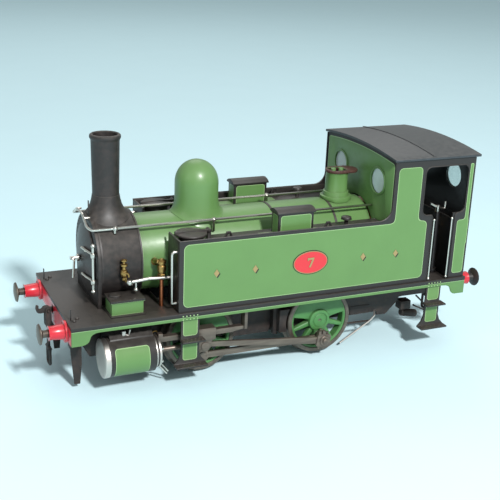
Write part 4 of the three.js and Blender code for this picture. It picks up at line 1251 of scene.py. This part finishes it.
@dataclass
class SmokeboxFurniture:
    """What is fixed to the smokebox: door straps, hinge, seams, rivets, cocks and lamp irons."""

    door_x: float = -88.35
    hinge_y: float = -18.9

    def build(self) -> None:
        """Makes every piece."""
        dressed(self.door(), Paints.door, "smokebox_door", "smokebox_door")
        dressed(self.hinge(), Paints.bright, "smokebox_door")
        dressed(self.seams(), Paints.black)
        dressed(self.front_rivets(), Paints.black)
        paired(self.cock(), "smokebox_side_cock", Paints.brass)
        dressed(self.lamp_irons(), Paints.black)

    def door(self) -> Thing:
        """The dished door with its flat rim, bored for the dart."""
        x = self.door_x
        dish = [(r, x - 0.75 - 2.6 * (1 - (r / 16.8) ** 2)) for r in (1.3, 4, 7, 10, 13, 15.2, 16.8)]
        profile = [*dish, (17.3, x - 0.6), (17.6, x - 0.3), (17.6, x), (1.3, x), dish[0]]
        return turned("smokebox_door_dished", profile, Axis.X, (0, 0, BOILER_Z), 80)

    def hinge(self) -> Thing:
        """Two straps, the hinge rod with its knuckles and a ball at each end."""
        x, y = self.door_x, self.hinge_y
        parts = []
        for z in (BOILER_Z - 7, BOILER_Z + 7):
            path = [(x - 1.4, y, z), (x - 1.5, -15.6, z), (x - 2.8, -10.4, z), (x - 3.5, -5.0, z)]
            parts.append(rod("strap", path, 0.72, 0.8, sides=4))
            parts.append(turned("knuckle", [(0, z - 1.2), (1.15, z - 1.2), (1.25, z - 1.0), (1.25, z + 1.0),
                                            (1.15, z + 1.2), (0, z + 1.2)], Axis.Z, (x - 1.4, y, 0), 20))
        low, high = BOILER_Z - 12, BOILER_Z + 12
        parts.append(rod("hinge_rod", [(x - 1.4, y, low), (x - 1.4, y, high)], 0.7, sides=4))
        parts += [turned("ball", ball(1.15, z), Axis.Z, (x - 1.4, y, 0), 18) for z in (low, high)]
        return joined("smokebox_door_hinge_straps", *parts)

    def seams(self) -> Thing:
        """The raised bands at the smokebox's two ends."""
        rings = []
        for x in (-66.1, -86.4):
            profile = [(22.3, x), (22.95, x + 0.1), (22.95, x + 0.95), (22.3, x + 1.1), (22.3, x)]
            rings.append(turned("ring", profile, Axis.X, (0, 0, BOILER_Z), 96))
        return joined("smokebox_seam_bands", *rings)

    def front_rivets(self) -> Thing:
        """A ring of small rivets round the smokebox's front plate."""
        turns = [-0.3 + (math.pi + 0.6) * i / 29 for i in range(30)]
        places = [(-88.0, 21.3 * math.cos(t), BOILER_Z + 21.3 * math.sin(t)) for t in turns]
        return rivets("smokebox_front_rivets", places, Axis.X, 0.38, -1)

    def cock(self) -> Thing:
        """A cast cock on the smokebox's side: cap, key, body, spout and stem."""
        x, y = -75.7, -24.4
        body = turned("cock", [(0, 54.7), (0.5, 54.8), (1.0, 55.6), (0.8, 56.6), (1.6, 57.6), (2.0, 59.2),
                               (1.6, 60.6),
                               (1.0, 61.0), (0.9, 62.3), (1.7, 62.8), (1.7, 63.8), (0.8, 64.1), (0.7, 65.0),
                               (1.5, 65.4), (1.5, 66.0), (0.9, 66.3), (0, 66.4)], Axis.Z, (x, y, 0), 20)
        stem = rod("stem", [(x, y + 3.2, 59.4), (x, y, 59.4)], 1.1, sides=4)
        key = rod("key", [(x - 0.9, y - 1.4, 60.0), (x + 1.6, y - 1.8, 58.9), (x + 1.9, y - 1.8, 57.4)], 0.55,
                  0.6)
        spout = rod("spout", [(x, y, 57.2), (x + 0.9, y - 0.5, 56.4), (x + 0.9, y - 0.5, 54.4)], 0.6, 0.4)
        return joined("cock", body, stem, key, spout)

    def lamp_irons(self) -> Thing:
        """Upright lamp irons on the footplate's front corners and the smokebox's crown, with their bolts."""
        parts = []
        for y in (-29.5, 29.5):
            parts.append(block("iron", (-104.4, y - 0.55, 39.5), (-103.9, y + 0.55, 45.4), 0.15))
            parts.append(block("foot", (-104.4, y - 0.7, 39.5), (-102.4, y + 0.7, 39.95), 0.15))
            for dx, dy in ((3.3, 0.9), (1.2, -1.9)):
                spot = (-104.1 + dx, y + dy, 0)
                parts.append(turned("bolt", [(0, 39.5), (1.0, 39.5), (1.0, 40.0), (0.6, 40.5), (0, 40.6)],
                                    Axis.Z, spot, 12))
        parts.append(block("crown", (-88.2, -5.0, 83.6), (-87.7, -3.9, 91.8), 0.15))
        return joined("lamp_irons", *parts)


@dataclass
class BoilerFittings:
    """Bands, dome, chimney, safety valve lip, feed pipes and clack valves."""

    radius: float = 20.0
    clack_x: float = -56.6
    clack_y: float = -25.6

    def build(self) -> None:
        """Makes every piece."""
        dressed(self.bands(), Paints.black)
        dressed(self.hairlines(), Paints.edge)
        dressed(self.dome(), Paints.green, "chassis", "dome_cover")
        dressed(self.chimney(), Paints.black, "chassis", "chimney")
        dressed(self.lip(), Paints.browned)
        paired(self.pipe(), "feed_pipe_copper", Paints.copper, replaces="feed_pipe")
        paired(self.clack(), "clack_valve", Paints.brass)

    def ring(self, x: float, width: float, r: float) -> Thing:
        """A thin strip round the boiler."""
        inner = self.radius - 0.1
        return turned("band", [(inner, x), (r, x), (r, x + width), (inner, x + width), (inner, x)], Axis.X,
                      (0, 0, BOILER_Z), 96)

    def bands(self) -> Thing:
        """The black bands round the cladding."""
        return joined("boiler_bands", *(self.ring(x, 1.3, self.radius + 0.22) for x in (11.0, 46.2)))

    def hairlines(self) -> Thing:
        """The pale line beside the smokebox."""
        return rename(self.ring(-64.5, 0.4, self.radius + 0.12), "boiler_lining")

    def dome(self) -> Thing:
        """The dome cover: one smooth spinning with its skirt dressed down on the boiler."""
        crown, shoulder, r, tall = 81.0, 96.0, 11.5, 12.0
        profile = [(0, 79.8), (14.2, 79.9), (14.3, crown), (13.7, 81.3), (12.9, 82.1), (12.2, 83.6),
                   (11.7, 85.8), (r, 89.0)]
        profile += [(r * math.cos(t),
                     shoulder + tall * math.sin(t)) for t in (math.pi / 2 * i / 14 for i in range(14))]
        dome = turned("dome_cover_spun", [*profile, (0, shoulder + tall)], Axis.Z, (-29, 0, 0), 72)
        return saddled(dome, crown, self.radius + 0.25, 90.0)

    def chimney(self) -> Thing:
        """The chimney: tapered pipe with a beaded rim over a flared base dressed down on the smokebox."""
        crown, inner = 83.5, 5.5
        profile = [(inner, 82.4), (12.4, 82.5), (12.5, crown), (11.6, 83.9), (10.2, 84.8), (9.0, 86.2),
                   (8.1, 88.2),
                   (7.4, 90.6), (6.95, 93.2), (6.75, 93.4), (6.95, 105), (7.2, 120.8), (7.4, 121.6),
                   (7.8, 122.1), (7.9, 122.8),
                   (7.7, 123.6), (7.2, 124.0), (6.5, 124.05), (6.1, 123.6), (5.9, 121), (inner, 110),
                   (inner, 82.4)]
        return saddled(turned("chimney_cast", profile, Axis.Z, (-77.8, 0, 0), 72), crown, 22.7, 93.0)

    def lip(self) -> Thing:
        """The safety valve casing's browned lip, drawn out backwards."""
        x = 54.5
        outline = round_rect(x - 6.7, x + 12.0, -6.1, 6.1, 5.7)
        top = plate("safety_valve_lip", outline, Axis.Z, 95.6, 97.1)
        cut_away(top, plate("well", round_rect(x - 4.5, x + 4.5, -3.8, 3.8, 0.3), Axis.Z, 94.0, 99.0))
        liner = plate("liner", round_rect(x - 4.6, x + 4.6, -3.9, 3.9, 0.3), Axis.Z, 89.9, 96.4)
        cut_away(liner, plate("well", round_rect(x - 4.4, x + 4.4, -3.7, 3.7, 0.3), Axis.Z, 90.2, 99.0))
        return joined("safety_valve_lip", soften(top, 0.3), liner)

    def pipe(self) -> Thing:
        """The copper feed pipe up from the footplate."""
        x, y = self.clack_x, self.clack_y
        return rod("pipe", [(x, y, 39.65), (x, y, 57.0)], 1.05, sides=5)

    def clack(self) -> Thing:
        """The clack valve: union nut, body, cap and the elbow into the boiler."""
        x, y = self.clack_x, self.clack_y
        nut = turned("nut", [(0, 54.6), (1.9, 54.6), (2.2, 55.0), (2.2, 56.9), (1.9, 57.2), (0, 57.2)],
                     Axis.Z, (x, y, 0), 6)
        body = turned("body", [(0, 57), (1.5, 57), (1.5, 57.8), (2.2, 58.3), (2.3, 61.2), (1.8, 61.8),
                               (1.8, 62.4), (2.4, 62.7),
                               (2.4, 63.9), (1.9, 64.3), (1.0, 64.9), (0, 65.1)], Axis.Z, (x, y, 0), 24)
        elbow = rod("elbow", [(x, y, 62.2), (x - 1.9, y + 0.2, 63.6), (x - 2.3, y + 2.6, 63.0),
                              (x - 1.9, y + 6.4, 61.8)],
                    1.3, 1.2, sides=5)
        collar = turned("collar", [(0, -20.9), (1.9, -20.9), (1.9, -19.8), (0, -19.8)], Axis.Y,
                        (x - 1.9, 0, 61.9), 20)
        return joined("clack", nut, body, elbow, collar)


@dataclass
class Handrails:
    """Handrail knobs and the upright rails at the tank fronts and doorways."""

    def build(self) -> None:
        """Makes every piece."""
        knobs = [turned("knob", ball(1.3, 79.9), Axis.Z, (x, -16.5, 0), 20) for x in (-77.8, -25.4, 19.6)]
        paired(joined("knobs", *knobs), "boiler_handrail_knobs", Paints.bright)
        tank = rod("tank_rail", [(-51.4, -34.6, 44), (-54.3, -34.6, 44), (-54.3, -34.6, 71),
                                 (-51.4, -34.6, 71)], 0.75, 1.4, 4)
        paired(tank, "tank_front_handrail", Paints.bright)
        posts = []
        for x in (95.2, 106.9):
            posts.append(rod("post", [(x, -39.0, 40.9), (x, -39.0, 75.6)], 0.4, sides=4))
            posts += [turned("ball", ball(0.75, z), Axis.Z, (x, -39.0, 0), 14) for z in (41.2, 75.4)]
        paired(joined("posts", *posts), "doorway_handrails", Paints.bright)


@dataclass
class CabFittings:
    """Window rims and panes, and the bracket behind the bunker."""

    front: float = 68.6
    rear: float = 119.2
    window_y: float = -20.8
    window_z: float = 94.7

    def build(self) -> None:
        """Makes every piece."""
        # The front panes show more of the painted reflection and less of the dark cab behind them.
        for x, out, word, pane in ((self.front, -1, "front", Glass("filmed_window_glass", 0.55)),
                                   (self.rear, 1, "rear", Glass())):
            centre = (x, self.window_y, self.window_z)
            rim = turned("rim", [(d, out * a) for d, a in ((6.7, -0.4), (6.7, 0.35), (7.0, 0.6), (7.6, 0.55),
                                                           (7.9, 0.2),
                                                           (7.9, -0.4), (6.7, -0.4))], Axis.X, centre, 64)
            paired(rim, f"{word}_window_rim", Paints.green if out < 0 else Paints.deep_black)
            disc = turned("pane", [(0, -out * 0.5), (7.1, -out * 0.5), (7.1, -out * 0.9), (0, -out * 0.9)],
                          Axis.X, centre, 48)
            paired(disc, f"{word}_window_pane", pane)
        bracket = rod("bracket", [(self.rear - 0.2, -33, 82.4), (self.rear + 2.4, -33, 82.4),
                                  (self.rear + 2.8, -33, 84.2)], 0.5, 0.6)
        eye = turned("eye", ball(0.95, 82.3), Axis.Z, (self.rear + 3.2, -33, 0), 14)
        paired(joined("bracket", bracket, eye), "bunker_lamp_bracket", Paints.bright)


@dataclass
class SandGear:
    """The sanding rods over the sandboxes."""

    y: float = -27.0
    end_x: float = -73.7

    def build(self) -> None:
        """Makes the left side's and mirrors them."""
        y, x = self.y, self.end_x
        bar = rod("bar", [(-52.2, y, 55.0), (-63.5, y, 55.7), (x, y, 54.8)], 0.95, 2.0, sides=4)
        boss = turned("boss", [(0, 53.5), (1.3, 53.7), (1.5, 54.4), (1.5, 55.4), (1.2, 56.0), (0, 56.2)],
                      Axis.Z, (x, y, 0), 18)
        drop = rod("drop", [(-70.4, y, 55.0), (-70.4, y, 49.4)], 0.5, sides=4)
        knob = turned("knob", ball(1.2, 50.6), Axis.Z, (-70.4, y, 0), 16)
        paired(joined("gear", bar, boss, drop, knob), "sanding_rod", Paints.bright)


@dataclass
class Underframe:
    """Pipes, pull rods and the small tank under the footplate's rear."""

    y: float = -14.0

    def build(self) -> None:
        """Makes the left side's and mirrors them."""
        y = self.y
        pull = rod("pull", [(52.0, -17.4, 10.2), (72.3, -17.4, 9.8)], 0.55)
        bar = block("bar", (59.0, -18.1, 15.2), (72.0, -17.5, 20.4), 0.15)
        box = block("box", (93.9, y - 3, 13.3), (100.8, y + 3, 18.6), 0.4)
        drum = turned("drum", [(0, -5.4), (1.9, -5.4), (2.3, -4.8), (2.3, 4.8), (1.9, 5.4), (0, 5.4)], Axis.X,
                      (0, 0, 0), 32)
        drum.rotation_euler = (0, math.radians(12), 0)
        drum.location = (101.3, y, 9.7)
        settle(drum)
        stays = [rod("stay", [(104.4, y, 14.1), (113.0, y, 9.7)], 0.5),
                 rod("stay", [(105.9, y, 20.0), (112.6, y, 13.7)], 0.5)]
        paired(joined("gear", pull, bar, box, drum, *stays), "underframe_gear", Paints.under)
        pipe = rod("sand_pipe", [(74.5, -19, 16.6), (73.2, -22, 14.8), (70.4, -22, 12.0), (51.5, -22, 0.8)],
                   0.55, 1.5)
        paired(pipe, "rear_sand_pipe", Paints.covers)


@dataclass
class Rivets:
    """Rivet heads on the steps, valances and buffer stocks."""

    def build(self) -> None:
        """Makes every group."""
        treads = []
        for x0, x1, z in ((-50.0, -39.6, 25.4), (-52.8, -38.2, 11.6), (94.9, 105.3, 26.2),
                          (92.9, 107.3, 12.4)):
            for start, y in ((0.25, -40.2), (0.75, -42.4)):
                treads += [(x0 + (x1 - x0) * (i + start) / 5, y, z) for i in range(5)]
        paired(rivets("treads", treads, Axis.Z, 0.33), "step_tread_rivets", Paints.motion)
        heads = [(x0 + 1.9 * i, -39.6, z) for x0 in (-49.8, 95.9) for i in range(5) for z in (36.4, 38.2)]
        paired(rivets("valance", heads, Axis.Y, 0.4, -1), "valance_rivets", Paints.edge)
        stocks = []
        for x, out in ((-107.6, -1), (121.4, 1)):
            spots = [(x, -28.8 + 4.75 * math.cos(t), 34 + 4.75 * math.sin(t)) for t in (0.785, 2.356, 3.927,
                                                                                        5.498)]
            stocks.append(rivets("stock", spots, Axis.X, 0.55, out))
        paired(joined("stocks", *stocks), "buffer_stock_bolts", Paints.red)


@dataclass
class Studio:
    """Pale floor, soft light and the camera."""

    floor_colour: str = "cde8ee"
    lens: float = 69.44
    # The camera's place in millimetres, and the ways its right, top and back face.
    place: Point = (-211.782, -455.574, 231.956)
    right: Point = (0.912725, -0.406544, 0.040686)
    up: Point = (0.100098, 0.319046, 0.942438)
    back: Point = (-0.396123, -0.856114, 0.331895)
    shift: Flat = (-0.01066, 0.00123)

    def build(self) -> None:
        """Sets out the floor, the lights and the camera."""
        self.floor()
        self.world()
        self.light("key_light", (0.05, -1.3, 1.12), 0.13, 36.0)
        self.light("fill_light", (-1.4, -0.5, 0.9), 0.9, 3.0)
        self.light("back_light", (0.3, 1.2, 1.3), 0.9, 5.0)
        self.camera()

    def floor(self) -> None:
        """A plain pale sheet far larger than the view."""
        bpy.ops.mesh.primitive_plane_add(size=9, location=(0, 0, 0))
        sheet = settle(rename(bpy.context.object, "floor"))
        paper = Finish("pale_paper", self.floor_colour, "floor", roughness=0.85, mottle=0.03, patch_mm=60.0,
                       grime_share=0.0, dust_share=0.0)
        sheet.data.materials.append(paper.surface())

    def world(self) -> None:
        """An even pale light from all round."""
        world = bpy.data.worlds.new("studio")
        bpy.context.scene.world = world
        world.use_nodes = True
        backdrop = world.node_tree.nodes["Background"]
        backdrop.inputs[0].default_value = colour("e3eef0")
        backdrop.inputs[1].default_value = 0.52

    def light(self, name: str, place: Point, size: float, watts: float) -> None:
        """A soft square light that looks at the engine.

        Args:
            name: Its name.
            place: Where it stands, in metres.
            size: Its side, in metres.
            watts: Its power.
        """
        bpy.ops.object.light_add(type="AREA", location=place)
        lamp = bpy.context.object
        lamp.name = name
        lamp.data.size = size
        lamp.data.energy = watts
        lamp.rotation_euler = (Vector((0, 0, 0.05)) - Vector(place)).to_track_quat("-Z", "Y").to_euler()

    def camera(self) -> None:
        """The camera, a little above the engine's left front corner."""
        bpy.ops.object.camera_add()
        eye = bpy.context.object
        eye.name = "camera"
        turn = Matrix((self.right, self.up, self.back)).transposed()
        eye.matrix_world = Matrix.Translation(Vector(self.place) * MM) @ turn.to_4x4()
        eye.data.lens = self.lens
        eye.data.sensor_width = 36.0
        eye.data.shift_x, eye.data.shift_y = self.shift
        eye.data.clip_start, eye.data.clip_end = 0.01, 20.0
        bpy.context.scene.camera = eye


def main() -> None:
    """Builds every sub-assembly in order."""
    logging.basicConfig(level=logging.INFO, format="%(message)s")
    bpy.context.scene.view_settings.view_transform = "Standard"
    for part in (Studio(), Groundwork(), Wheels(), SideSheets(), CylinderFittings(), RodFittings(),
                 SmokeboxFurniture(), BoilerFittings(), Handrails(), CabFittings(), SandGear(), Underframe(),
                 Rivets()):
        part.build()


if __name__ == "__main__":
    main()
